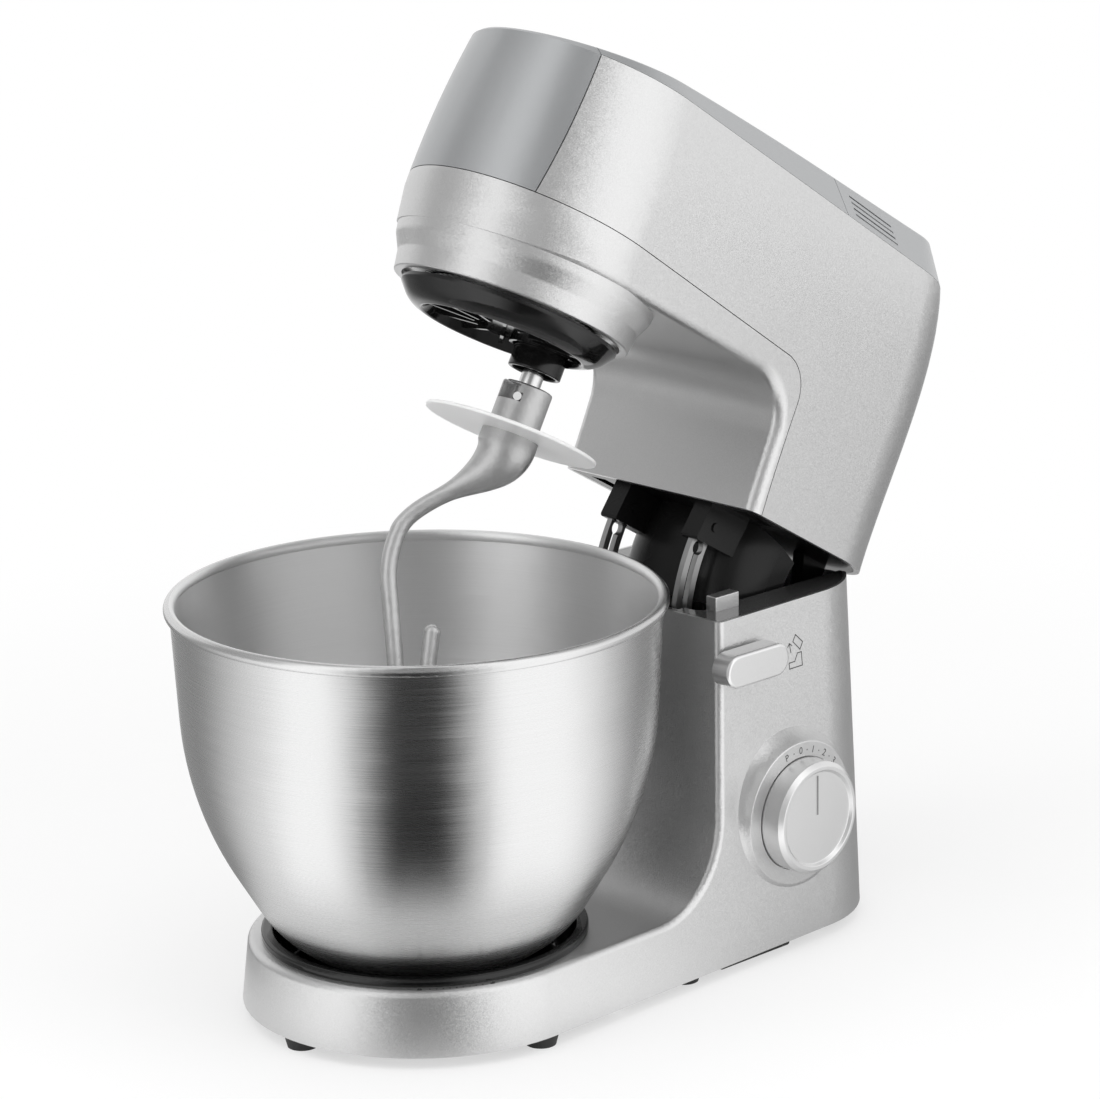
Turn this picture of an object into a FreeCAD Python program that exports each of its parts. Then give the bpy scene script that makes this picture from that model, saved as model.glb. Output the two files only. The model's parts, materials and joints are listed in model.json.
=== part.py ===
import FreeCAD, Part
import math
import os

# A tilt-head stand mixer in millimetres, drawn with its head held open, +Z up and the bowl towards -Y.
# Every piece is built around the bowl axis with the head closed, then moved to its place.

V = FreeCAD.Vector

# Placing
bowl_axis_y = -105.0
bowl_room = 16.3
hinge_drop = 19.5
head_tilt = 30.0
far = 600.0

# Clearances
seam = 0.4
slide_gap = 0.35
running_gap = 0.05
seat_gap = 0.25
swing_gap = 1.6

# Stand housing, with its rear ends measured behind the hinge
base_bottom = 5.8
base_front_r = 85.5
base_half = 80.5
base_tail = 16.0
base_corner_r = 60.0
platform_top = 36.0
stand_edge_r = 3.5
deck_z = 167.5
deck_front_r = 67.0
deck_half = 63.0
deck_tail = 15.0
deck_corner_r = 44.0
column_room = 6.2
column_lean = 6.8
flare_r = 46.0
stand_wall = 3.2
cheek_plate = 6.0
cheek_gap = 2.0

# Column deck
deck_plate = 3.0
deck_rim = 1.6
deck_opening_half = 44.0
deck_opening_lead = 3.5
deck_corner = 6.0
block_x = 47.0
block_lead = 9.0
block_width = 6.5
block_length = 16.0
block_height = 7.0
block_edge_r = 0.6
guide_half = 47.0
guide_plate = 3.0
guide_margin = 4.0

# Bottom plate, feet and gland
plate_thickness = 2.5
foot_r = 8.5
foot_taper = 1.5
foot_ring_r = 76.5
foot_side_y = 101.0
foot_side_x = 69.0
foot_rear_x = 40.0
foot_rear_ahead = 22.0
strip_x = 70.0
strip_ahead = 89.0
strip_width = 9.0
strip_length = 47.0
plate_screw_r = 4.0
plate_screw_length = 10.0
screw_post_r = 6.5
screw_ahead = 44.0
screw_spacing = 140.0
gland_x = -15.0
gland_z = 22.0
gland_r = 5.0
gland_lip = 2.5
gland_wall = 1.5

# Bowl and its seat
bowl_rim_r = 115.0
bowl_height = 172.6
bowl_wall = 1.0
bead_r = 2.6
bowl_low_r = 60.3
bowl_low_bend = 58.0
bowl_waist_r = 107.4
bowl_waist_height = 79.3
bowl_waist_bend = 160.0
seat_r = 71.0
seat_flange_r = 76.0
seat_flange = 3.5
seat_wall = 2.5
seat_depth = 24.5
bowl_foot_r = 46.0
bowl_foot_wall = 6.0
bowl_foot_height = 10.4
lug_reach = 7.0
lug_height = 4.0
lug_lift = 2.5
lug_angle = 30.0
lug_count = 3
tab_height = 2.0

# Speed knob
knob_ahead = 63.0
knob_z = 68.0
boss_foot_r = 41.5
boss_waist_r = 37.4
boss_face_r = 35.1
boss_proud = 5.4
boss_edge_r = 0.8
knob_r = 27.4
knob_depth = 12.3
knob_well = 1.6
knob_gap = 0.5
knob_bevel = 2.0
knob_soft_r = 0.5
knob_face_r = 22.4
knob_recess = 1.6
knob_step = 1.2
knob_web = 3.0
pointer_width = 0.8
pointer_height = 0.3
pointer_inset = 1.5
spindle_r = 4.0
switch_size = 26.0
switch_depth = 14.0
switch_edge_r = 2.0
switch_pad = 2.0

# Control board
board_half = 45.0
board_ahead = 84.0
board_length = 55.0
board_stand = 6.0
board_thickness = 1.6
standoff_r = 3.0
standoff_inset = 5.0
choke_width = 22.0
choke_length = 30.0
choke_height = 19.5
capacitor_r = 9.0
capacitor_height = 23.5

# Head release
release_drop = 1.0
lever_length = 42.0
lever_height = 16.0
lever_depth = 10.5
lever_edge_r = 1.5
lever_swing = 25.0
lever_stem_r = 5.0
release_pin_r = 1.5
spring_wire = 1.6
spring_length = 6.0

# Head outer form: heights above the neck, half widths, and rear ends behind the hinge, at four levels
neck_gap = 1.0
neck_half = 64.5
neck_tail = 14.0
belly_rise = 84.5
belly_half = 65.5
belly_tail = 11.0
shoulder_rise = 116.5
shoulder_half = 64.6
shoulder_tail = 8.3
brow_rise = 151.9
brow_half = 60.8
brow_tail = 3.5
brow_fall = 2.0
head_corner_r = 44.0
head_side_taper = 1.6
crown_rise = 26.0
crown_rear = 10.0
head_wall = 3.0
underside_rise = 60.5
neck_front_step = 0.2
neck_front_lean = 4.0
throat_r = 26.0
head_edge_r = 6.0
top_edge_r = 3.0
top_front_y = -66.0
top_front_rise = 3.0
top_apex_y = 40.0
top_apex_rise = 11.6
top_tail = 3.5
top_tail_rise = 14.6
top_bend = 2400.0

# Head seams
parting_rise = 24.5
parting_fall = 3.75
parting_neck = 7.0
parting_r = 19.0
cap_seam_low = -51.2
cap_seam_high = -44.0
lid_ahead = 106.0
vent_count = 4
vent_length = 36.0
vent_width = 1.3
vent_depth = 1.2
vent_start = 9.0
vent_rise = 3.7
vent_pitch = 2.8

# Gears
gear_module = 1.5
ring_teeth = 56
planet_teeth = 19
wheel_teeth = 66
pinion_teeth = 16
pressure_angle = 20.0
tooth_thinning = 0.12
tip_clearance = 0.3
planet_face = 9.0
wheel_face = 8.0
ring_wall = 10.4
ring_skirt = 5.0
gear_gap = 0.5

# Hub
collar_height = 20.0
collar_wall = 3.8
collar_gap = 0.6
collar_edge_r = 0.8
collar_band = 9.0
collar_draft = 1.4
collar_waist_bend = 4.0
nose_low = 3.5
nose_low_r = 61.9
nose_bend = 8.0
nose_shift = 2.4
nose_lap = 0.2
cover_gap = 0.8
cover_drop = 12.5
cover_sunk = 1.5
cover_recess_depth = 6.0
cover_lip = 6.2
cover_lip_width = 7.0
cover_lip_rise = 2.0
cover_slope = 3.5
cover_bend = 14.0
cover_rib_count = 12
cover_rib = 1.6
cover_rib_start = 14.0
cover_rib_depth = 3.0
carrier_lap = 2.75
carrier_plate = 4.0
carrier_shaft_r = 6.0
bearing_r = 11.0
bearing_width = 7.0
bearing_wall = 4.0
bearing_lift = 2.0
case_plate = 5.0
case_lap = 6.0
wheel_lift = 3.0

# Tool
tool_shaft_r = 5.3
bush_r = 9.5
bell_r = 12.75
bell_gap = 2.5
bell_height = 11.0
bell_wall = 2.2
bell_hollow = 4.0
bell_edge_r = 0.8
chuck_gap = 7.0
chuck_r = 12.0
chuck_depth = 16.0
drive_pin_r = 2.0
drive_pin_drop = 7.0
drive_pin_turn = 50.0
window_turn = 75.0
window_height = 8.0
disc_drop = 8.0
disc_r = 41.7
disc_thickness = 1.8
disc_lap = 2.0
bulb_r = 13.6
bulb_start = 5.0
bulb_drop = 38.0
swan_start = 6.0
swan_drop = 60.0
swan_steps = 9
hook_r = 3.9
hook_turn = 224.0
hook_reach = 33.0
hook_bow = 14.0
hook_bow_r = 50.0
hook_lean = 25.2
hook_clear = 10.0
hook_heel = 3.6
hook_heel_r = 6.0
hook_tip_lean = 13.0
hook_tip_rise = 25.0

# Drive
chassis_lift = 9.0
chassis_plate = 4.0
chassis_half = 47.0
chassis_corner = 12.0
chassis_lead = 28.0
post_x = 42.0
post_front_y = 52.0
post_r = 4.5
post_margin = 4.0
chassis_screw_r = 1.5
chassis_screw_head_r = 3.5
chassis_screw_head = 2.4
chassis_screw_length = 13.0
layshaft_r = 5.0
lay_bush_r = 8.0
lay_bush_proud = 3.0
lay_ear = 6.0
pulley_lift = 14.0
pulley_height = 14.0
pulley_flange = 1.5
pulley_rim = 5.0
pulley_web = 6.0
large_pulley_r = 46.0
small_pulley_r = 10.0
belt_thickness = 2.0
belt_inset = 2.0
motor_ahead = 46.0
motor_r = 38.0
motor_wall = 3.0
motor_shaft_r = 4.0
motor_shaft_room = 2.0
motor_bearing_r = 10.0
rotor_r = 31.0
rotor_low = 24.0
rotor_high = 22.0
fan_r = 30.0
fan_hub_r = 8.0
fan_low = 5.0
fan_plate = 2.0
fan_height = 9.0
fan_blade = 1.6
fan_blades = 11

# Hinge and tilt arms
hinge_pin_r = 5.0
hinge_bush_r = 7.0
lug_r = 9.5
lug_inner = 22.0
lug_plate = 7.0
lug_lead = 19.0
lug_trail = 0.5
lug_shoulder = 13.0
neck_plate = 3.0
cowl_step = 14.0
cowl_half = 41.5
cowl_corner = 28.0
cowl_wall = 2.5
cowl_sweep = 36.0
cowl_start = 18.0
arm_mid_r = 91.0
arm_width = 11.0
arm_plate = 3.0
arm_x = 27.0
arm_top_angle = 12.0
arm_low_angle = -38.0
slot_half = 1.9
keyhole_r = 3.6
bracket_front = 1.8
bracket_depth = 18.5
bracket_length = 31.0
bracket_corner = 1.5
bracket_plate = 3.4
rivet_r = 1.5
rivet_head = 0.8
rivet_inset = 2.0
rivet_angle = 7.0

# Places along the stand, measured from the bowl axis
column_front = bowl_rim_r + bowl_room
hinge_reach = column_front + column_room + arm_width / 2 + arm_mid_r
base_rear = hinge_reach + base_tail
deck_rear = hinge_reach + deck_tail
neck_front = column_front + neck_front_step
knob_y = hinge_reach - knob_ahead
motor_y = hinge_reach - motor_ahead
lid_seam_y = hinge_reach - lid_ahead
screw_y = hinge_reach - screw_ahead
strip_y = hinge_reach - strip_ahead
foot_rear_y = hinge_reach - foot_rear_ahead
board_y = hinge_reach - board_ahead
post_rear_y = neck_front - throat_r - head_wall - post_r - post_margin

# Heights of the stand and bowl
seat_floor = platform_top - seat_depth
bowl_bottom = seat_floor + seat_wall + bowl_foot_height
bowl_rim_z = bowl_bottom + bowl_height
bowl_waist_z = bowl_bottom + bowl_waist_height
hinge_z = deck_z - hinge_drop
hinge = V(0, hinge_reach, hinge_z)
release_z = hinge_z - release_drop
release_y = hinge_reach - math.sqrt(arm_mid_r ** 2 - release_drop ** 2)

# Places of the hinge along its axis
lug_outer = lug_inner + lug_plate
cheek_inner = lug_outer + cheek_gap
cheek_outer = cheek_inner + cheek_plate

# Heights of the closed head
head_bottom = deck_z + neck_gap
neck_floor = head_bottom + neck_plate
underside_z = head_bottom + underside_rise
belly_z = head_bottom + belly_rise
shoulder_z = head_bottom + shoulder_rise
brow_z = head_bottom + brow_rise
parting_z = underside_z + parting_rise

# Sizes and heights of the hub, from the collar down to the tool
ring_pitch_r = gear_module * ring_teeth / 2
orbit_r = ring_pitch_r - gear_module * planet_teeth / 2
lay_y = gear_module * (wheel_teeth + pinion_teeth) / 2
ring_r = ring_pitch_r + ring_wall
collar_bore_r = ring_r + collar_gap
collar_r = collar_bore_r + collar_wall
cover_r = collar_bore_r - cover_gap
case_r = collar_bore_r + case_lap
carrier_r = orbit_r + bush_r + carrier_lap
case_z = underside_z + head_wall
collar_bottom = underside_z - collar_height
nose_low_z = underside_z - nose_low
cover_bottom = collar_bottom - cover_drop
cover_top = collar_bottom - cover_sunk
cover_recess = cover_bottom + cover_recess_depth
planet_z = cover_top + carrier_plate + gear_gap
bell_top = cover_recess - bell_gap
bell_bottom = bell_top - bell_height
chuck_top = bell_bottom - chuck_gap
tool_shaft_end = chuck_top - chuck_depth
drive_pin_z = chuck_top - drive_pin_drop
disc_z = tool_shaft_end - disc_drop
hook_low_z = bowl_bottom + bowl_wall + hook_clear
hook_tip_z = hook_low_z + hook_tip_rise

# Heights of the drive, from the hub up to the pulleys
upper_bearing_z = case_z + case_plate + bearing_lift
wheel_z = upper_bearing_z + bearing_width + wheel_lift
chassis_z = wheel_z + wheel_face + chassis_lift
pulley_z = chassis_z + chassis_plate + pulley_lift


# Shape helpers

def on_side(u, v):
    return V(0, u, v)


def on_plan(u, v):
    return V(u, v, 0)


def on_radius(u, v):
    return V(u, 0, v)


def bends(corners, place, closed):
    """Start, middle and end of the tangent arc at each corner (u, v, radius)."""
    spans = []
    count = len(corners)
    for i, (u, v, radius) in enumerate(corners):
        here = place(u, v)
        if radius == 0 or (not closed and i in (0, count - 1)):
            spans.append((here, None, here))
            continue
        before = place(*corners[i - 1][:2]) - here
        after = place(*corners[(i + 1) % count][:2]) - here
        before.normalize()
        after.normalize()
        half = before.getAngle(after) / 2
        run = radius / math.tan(half)
        middle = before + after
        middle.normalize()
        depth = radius / math.sin(half) - radius
        spans.append((here + before * run, here + middle * depth, here + after * run))
    return spans


def bent_wire(corners, place, closed=True):
    """Wire of straight runs and tangent arcs through corners (u, v, radius)."""
    spans = bends(corners, place, closed)
    edges = []
    for i, (start, middle, end) in enumerate(spans):
        if middle is not None:
            edges.append(Part.Arc(start, middle, end).toShape())
        if closed or i < len(spans) - 1:
            following = spans[(i + 1) % len(spans)][0]
            if end.distanceToPoint(following) > 1e-6:
                edges.append(Part.makeLine(end, following))
    return Part.Wire(edges)


def across(corners, low_x, high_x):
    """Side outline in Y and Z, extruded along X."""
    face = Part.Face(bent_wire(corners, on_side))
    face.translate(V(low_x, 0, 0))
    return face.extrude(V(high_x - low_x, 0, 0))


def upright(corners, low_z, high_z):
    """Plan outline in X and Y, extruded along Z."""
    face = Part.Face(bent_wire(corners, on_plan))
    face.translate(V(0, 0, low_z))
    return face.extrude(V(0, 0, high_z - low_z))


def turned(corners):
    """Outline of radius and height, turned about the bowl axis."""
    return Part.Face(bent_wire(corners, on_radius)).revolve(V(0, 0, 0), V(0, 0, 1), 360)


def block(x0, x1, y0, y1, z0, z1):
    return Part.makeBox(x1 - x0, y1 - y0, z1 - z0, V(x0, y0, z0))


def post(radius, z0, z1, x=0.0, y=0.0):
    return Part.makeCylinder(radius, z1 - z0, V(x, y, z0), V(0, 0, 1))


def tube(radius, bore, z0, z1, x=0.0, y=0.0):
    return post(radius, z0, z1, x, y).cut(post(bore, z0, z1, x, y))


def rod(radius, x0, x1, y, z):
    """Round bar along X."""
    return Part.makeCylinder(radius, x1 - x0, V(x0, y, z), V(1, 0, 0))


def joined(shapes):
    return shapes[0].multiFuse(shapes[1:]).removeSplitter()


def mirrored(shape):
    return shape.mirror(V(0, 0, 0), V(1, 0, 0))


def rounded_edges(shape, radius, wanted):
    """The shape with a fillet on every edge that wanted(edge) picks."""
    return shape.makeFillet(radius, [edge for edge in shape.Edges if wanted(edge)])


def plan_wire(front_r, side_x, rear_y, corner_r, z):
    """Round nose about the bowl axis, sides running back to two rounded rear corners."""
    hub = side_x - corner_r
    back = rear_y - corner_r
    turn = corner_r * math.sqrt(0.5)
    nose = V(front_r, 0, z)
    nose_left = V(-front_r, 0, z)
    edges = [
        Part.makeLine(nose, V(side_x, back, z)),
        Part.Arc(V(side_x, back, z), V(hub + turn, back + turn, z), V(hub, rear_y, z)).toShape(),
        Part.makeLine(V(hub, rear_y, z), V(-hub, rear_y, z)),
        Part.Arc(V(-hub, rear_y, z), V(-hub - turn, back + turn, z), V(-side_x, back, z)).toShape(),
        Part.makeLine(V(-side_x, back, z), nose_left),
        Part.Arc(nose_left, V(0, -front_r, z), nose).toShape(),
    ]
    return Part.Wire(edges)


# Stand

def stand_form(inset, top):
    """Base and column as one drafted body, drawn in by inset and cut off at top."""
    low = plan_wire(base_front_r - inset, base_half - inset, base_rear - inset,
                    base_corner_r - inset, base_bottom)
    high = plan_wire(deck_front_r - inset, deck_half - inset, deck_rear - inset,
                     deck_corner_r - inset, deck_z)
    lean = math.tan(math.radians(column_lean))
    ceiling = platform_top - inset
    front = column_front + inset / math.cos(math.radians(column_lean))
    outline = [
        (-far, base_bottom - 1, 0),
        (-far, ceiling, 0),
        (front - (deck_z - ceiling) * lean, ceiling, flare_r + inset),
        (front - (deck_z - top) * lean, top, 0),
        (far, top, 0),
        (far, base_bottom - 1, 0),
    ]
    return Part.makeLoft([low, high], True, True).common(across(outline, -far, far))


def swing_room():
    """What the underside of the opening head sweeps through behind the hinge."""
    room = block(-far, far, -far, far, head_bottom - swing_gap, far)
    room.rotate(hinge, V(1, 0, 0), -head_tilt)
    return room


def wall_x(y, z):
    """Half width of the stand's outer side at a height and distance behind the bowl axis."""
    share = (z - base_bottom) / (deck_z - base_bottom)
    low = base_front_r + (base_half - base_front_r) * y / (base_rear - base_corner_r)
    high = deck_front_r + (deck_half - deck_front_r) * y / (deck_rear - deck_corner_r)
    return low + (high - low) * share


def boss_face_x():
    return wall_x(knob_y, knob_z) + boss_proud


def dial_boss():
    """Boss of the dial: a coved flank that rises from the leaning wall to a flat ring."""
    wall = wall_x(knob_y, knob_z)
    lean = (wall_x(knob_y, base_bottom) - wall_x(knob_y, deck_z)) / (deck_z - base_bottom)
    rings = []
    for radius, x, tilt in ((boss_foot_r, wall - stand_wall / 3, lean),
                            (boss_waist_r, wall + boss_proud / 3, lean / 2), (boss_face_r, boss_face_x(), 0)):
        rings.append(Part.Wire(Part.makeCircle(radius, V(x, knob_y, knob_z), V(1, 0, tilt))))
    boss = Part.makeLoft(rings, True, False)
    return rounded_edges(boss, boss_edge_r, lambda edge: edge.BoundBox.XMin > boss_face_x() - 1e-3)


def stand_housing():
    shell = rounded_edges(stand_form(0, deck_z), stand_edge_r, platform_edge)
    ledge = deck_z - deck_plate
    shell = shell.fuse(dial_boss()).cut(stand_form(stand_wall, ledge))
    shell = shell.cut(stand_form(deck_rim, deck_z).common(block(-far, far, -far, far, ledge, far)))
    cheek = block(cheek_inner, cheek_outer, hinge_reach - 2 * hinge_bush_r, base_rear,
                  hinge_z - 4 * hinge_bush_r, hinge_z + hinge_bush_r)
    inner_pieces = [cheek, mirrored(cheek)]
    plate_top = base_bottom + plate_thickness
    for x, y in plate_screw_places():
        inner_pieces.append(post(screw_post_r, plate_top, plate_top + plate_screw_length, x, y))
    shell = shell.multiFuse([piece.common(stand_form(stand_wall / 2, deck_z)) for piece in inner_pieces])
    shell = shell.fuse(rod(switch_size / 3, switch_x(), switch_x() + switch_pad, knob_y, knob_z))
    cuts = [
        swing_room(),
        post(seat_r + seat_gap, base_bottom, platform_top + 1),
        rod(spindle_r + slide_gap, 0, far, knob_y, knob_z),
        rod(knob_r + knob_gap, boss_face_x() - knob_well, far, knob_y, knob_z),
        rod(hinge_pin_r, -cheek_outer, cheek_outer, hinge_reach, hinge_z),
        rod(lever_stem_r + running_gap, 0, far, release_y, release_z),
        Part.makeCylinder(gland_r, far, V(gland_x, hinge_reach, gland_z), V(0, 1, 0)),
    ]
    cuts += [post(plate_screw_r / 2, 0, screw_end_z(), x, y) for x, y in plate_screw_places()]
    return shell.cut(Part.makeCompound(cuts)).removeSplitter()


def switch_x():
    return wall_x(knob_y, knob_z) - stand_wall - switch_pad


def platform_edge(edge):
    """The platform's rim, which the fillet follows up the column's front corners."""
    box = edge.BoundBox
    return box.ZLength < 1e-3 and abs(box.ZMin - platform_top) < 1e-3 and box.YLength > 1


def column_deck():
    plate = stand_form(deck_rim + seat_gap, deck_z)
    plate = plate.common(block(-far, far, -far, far, deck_z - deck_plate, far))
    opening_front = release_y - deck_opening_lead
    opening = [
        (-deck_opening_half, opening_front, deck_corner),
        (deck_opening_half, opening_front, deck_corner),
        (deck_opening_half, far, 0),
        (-deck_opening_half, far, 0),
    ]
    plate = plate.cut(upright(opening, 0, far)).cut(swing_room())
    adds = []
    notches = []
    for side in (-1, 1):
        guide = side * guide_half
        margin = release_pin_r + guide_margin
        adds.append(block(guide - guide_plate / 2, guide + guide_plate / 2, release_y - margin,
                          release_y + margin, release_z - margin, deck_z - deck_plate / 2))
        notch_half = bracket_half() + swing_gap
        notches.append(block(side * arm_x - notch_half, side * arm_x + notch_half,
                             bracket_front_y(deck_z) - swing_gap, release_y, 0, far))
    plate = plate.multiFuse(adds).cut(Part.makeCompound(notches))
    return plate.cut(rod(release_pin_r + running_gap, -far, far, release_y, release_z)).removeSplitter()


def deck_blocks():
    """Two blocks on the deck that centre the closing head."""
    block_y = release_y + block_lead
    blocks = []
    for side in (-1, 1):
        middle = side * block_x
        stub = block(middle - block_width / 2, middle + block_width / 2, block_y - block_length / 2,
                     block_y + block_length / 2, deck_z, deck_z + block_height)
        blocks.append(rounded_edges(stub, block_edge_r, lambda edge: edge.BoundBox.ZMax > deck_z + 1))
    return Part.makeCompound(blocks)


def bottom_plate():
    plate = stand_form(stand_wall + seat_gap, deck_z)
    plate = plate.common(block(-far, far, -far, far, base_bottom, base_bottom + plate_thickness))
    holes = [post(plate_screw_r / 2, 0, far, x, y) for x, y in plate_screw_places()]
    return plate.cut(Part.makeCompound(holes))


def plate_screw_places():
    places = []
    for y in (screw_y - screw_spacing, screw_y):
        x = wall_x(y, base_bottom) - stand_wall - screw_post_r
        places += [(-x, y), (x, y)]
    return places


def screw_end_z():
    return base_bottom + plate_thickness + plate_screw_length - plate_screw_r / 2


def plate_screws():
    screws = []
    for x, y in plate_screw_places():
        head = post(plate_screw_r, base_bottom - plate_screw_r / 2, base_bottom, x, y)
        screws.append(head.fuse(post(plate_screw_r / 2, base_bottom - 1, screw_end_z(), x, y)).removeSplitter())
    return Part.makeCompound(screws)


def rubber_feet():
    places = [(0.0, -foot_ring_r)]
    for side in (-1, 1):
        places += [(side * foot_ring_r, 0.0), (side * foot_side_x, foot_side_y), (side * foot_rear_x, foot_rear_y)]
    feet = []
    for x, y in places:
        feet.append(Part.makeCone(foot_r - foot_taper, foot_r, base_bottom, V(x, y, 0), V(0, 0, 1)))
    for side in (-1, 1):
        strip = block(side * strip_x - strip_width / 2, side * strip_x + strip_width / 2,
                      strip_y - strip_length / 2, strip_y + strip_length / 2, 0, base_bottom)
        feet.append(rounded_edges(strip, foot_taper, lambda edge: edge.BoundBox.ZMax < base_bottom / 2))
    return Part.makeCompound(feet)


def cord_gland():
    inner_y = base_rear - 2 * stand_wall
    outer_y = base_rear + gland_lip
    flange = Part.makeCylinder(gland_r + gland_lip, gland_lip, V(gland_x, base_rear, gland_z), V(0, 1, 0))
    neck = Part.makeCylinder(gland_r, outer_y - inner_y, V(gland_x, inner_y, gland_z), V(0, 1, 0))
    bore = Part.makeCylinder(gland_r - gland_wall, far, V(gland_x, inner_y - 1, gland_z), V(0, 1, 0))
    return flange.fuse(neck).cut(bore).removeSplitter()


# Bowl and its seat

def bowl_corners(wall):
    """Bowl outline from the axis to the rim, drawn in by wall."""
    slope = math.atan2(bowl_waist_z - bowl_bottom, bowl_waist_r - bowl_low_r)
    rim_r = bowl_rim_r - bead_r
    steep = math.atan2(bowl_rim_z - bowl_waist_z, rim_r - bowl_waist_r)
    low_shift = wall * math.tan(slope / 2)
    waist_shift = wall * math.tan((steep - slope) / 2)
    waist_r = bowl_waist_r - wall * math.sin(slope) - waist_shift * math.cos(slope)
    waist_z = bowl_waist_z + wall * math.cos(slope) - waist_shift * math.sin(slope)
    return [
        (0, bowl_bottom + wall, 0),
        (bowl_low_r - low_shift, bowl_bottom + wall, bowl_low_bend - wall),
        (waist_r, waist_z, bowl_waist_bend - wall),
        (rim_r - wall / math.sin(steep), bowl_rim_z - bead_r, 0),
    ]


def mixing_bowl():
    def filled(wall):
        top = bowl_rim_z - bead_r + (far if wall else 0)
        corners = bowl_corners(wall)
        last = corners[-1][0]
        return turned(corners + ([(last, top, 0)] if wall else []) + [(0, top, 0)])
    shell = filled(0).cut(filled(bowl_wall))
    bead = Part.makeTorus(bowl_rim_r - bead_r, bead_r, V(0, 0, bowl_rim_z - bead_r), V(0, 0, 1))
    return shell.fuse(bead).removeSplitter()


def sector(radius, bore, z0, z1, start, sweep):
    ring = Part.makeCylinder(radius, z1 - z0, V(0, 0, z0), V(0, 0, 1), sweep)
    ring = ring.cut(post(bore, z0, z1))
    ring.rotate(V(0, 0, 0), V(0, 0, 1), start)
    return ring


def lug_z():
    return seat_floor + seat_wall + lug_lift


def bowl_foot():
    ring = tube(bowl_foot_r, bowl_foot_r - bowl_foot_wall, seat_floor + seat_wall + seat_gap, bowl_bottom + 4)
    ring = ring.cut(turned(bowl_corners(0) + [(0, bowl_rim_z, 0)]))
    for i in range(lug_count):
        start = i * 360 / lug_count
        ring = ring.fuse(sector(bowl_foot_r + lug_reach, bowl_foot_r - 1, lug_z(), lug_z() + lug_height,
                                start, lug_angle))
    return ring.removeSplitter()


def bowl_seat():
    inside = seat_r - seat_wall
    top = platform_top + seat_flange
    cup = turned([
        (0, seat_floor, 0), (seat_r, seat_floor, 1), (seat_r, platform_top, 0), (seat_flange_r, platform_top, 0),
        (seat_flange_r, top, 1.6), (seat_r, top, 1.2), (inside, platform_top, 1),
        (inside, seat_floor + seat_wall, 1), (0, seat_floor + seat_wall, 0),
    ])
    tab_z = lug_z() + lug_height + slide_gap
    for i in range(lug_count):
        start = i * 360 / lug_count
        cup = cup.fuse(sector(inside + 1, bowl_foot_r + 2, tab_z, tab_z + tab_height, start, lug_angle))
    return cup.removeSplitter()


# Speed knob

def knob_face_x():
    return boss_face_x() + knob_depth


def about_dial(corners):
    """Outline of radius and X, turned about the dial's axis."""
    solid = turned(corners)
    solid.rotate(V(0, 0, 0), V(0, 1, 0), 90)
    solid.translate(V(0, knob_y, knob_z))
    return solid


def speed_knob():
    foot = boss_face_x() - knob_well + slide_gap
    face = knob_face_x()
    floor = face - knob_recess
    return about_dial([
        (spindle_r, foot, 0), (knob_r, foot, knob_soft_r), (knob_r, face - knob_bevel, knob_soft_r),
        (knob_r - knob_bevel, face, knob_soft_r), (knob_face_r + knob_step, face, knob_soft_r),
        (knob_face_r, floor, knob_soft_r), (0, floor, 0), (0, spindle_end(), 0), (spindle_r, spindle_end(), 0),
    ])


def spindle_end():
    return knob_face_x() - knob_recess - knob_web


def knob_pointer():
    back = knob_face_x() - knob_recess
    return block(back, back + pointer_height, knob_y - pointer_width / 2, knob_y + pointer_width / 2,
                 knob_z + pointer_inset, knob_z + knob_face_r - pointer_inset)


def knob_spindle():
    return rod(spindle_r, switch_x() - switch_depth, spindle_end(), knob_y, knob_z)


def speed_switch():
    half = switch_size / 2
    body = block(switch_x() - switch_depth, switch_x(), knob_y - half, knob_y + half, knob_z - half, knob_z + half)
    body = rounded_edges(body, switch_edge_r, lambda edge: edge.BoundBox.XLength > 1)
    return body.cut(rod(spindle_r + running_gap, 0, far, knob_y, knob_z))


def control_board():
    low = base_bottom + plate_thickness
    under = low + board_stand
    top = under + board_thickness
    rear = board_y + board_length
    parts = [block(-board_half, board_half, board_y, rear, under, top)]
    for x in (standoff_inset - board_half, board_half - standoff_inset):
        for y in (board_y + standoff_inset, rear - standoff_inset):
            parts.append(post(standoff_r, low, under, x, y))
    middle = board_y + board_length / 2
    parts.append(block(-choke_width, 0, middle - choke_length / 2, middle + choke_length / 2,
                       top, top + choke_height))
    parts.append(post(capacitor_r, top, top + capacitor_height, board_half / 2, middle))
    return joined(parts)


# Head release

def lever_back_x():
    """Inner face of the lever, clear of the leaning wall where its end swings lowest."""
    reach = (lever_length - lever_height) / 2
    lowest = release_z - lever_height / 2 - reach * math.sin(math.radians(lever_swing))
    return wall_x(release_y - reach, lowest) + slide_gap


def release_lever():
    back, face = lever_back_x(), lever_back_x() + lever_depth
    reach = (lever_length - lever_height) / 2
    half = lever_height / 2
    pill = [block(back, face, release_y - reach, release_y + reach, release_z - half, release_z + half)]
    for side in (-1, 1):
        pill.append(rod(half, back, face, release_y + side * reach, release_z))
    return rounded_edges(joined(pill), lever_edge_r, lambda edge: edge.BoundBox.XMin > face - 1e-3)


def release_pin():
    """Stem of the lever, with the cross bar that runs in the slots of both tilt arms."""
    step = guide_half + guide_plate / 2 + slide_gap
    bar = rod(release_pin_r, -guide_half - guide_plate, step, release_y, release_z)
    return bar.fuse(rod(lever_stem_r, step, lever_back_x(), release_y, release_z)).removeSplitter()


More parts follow.
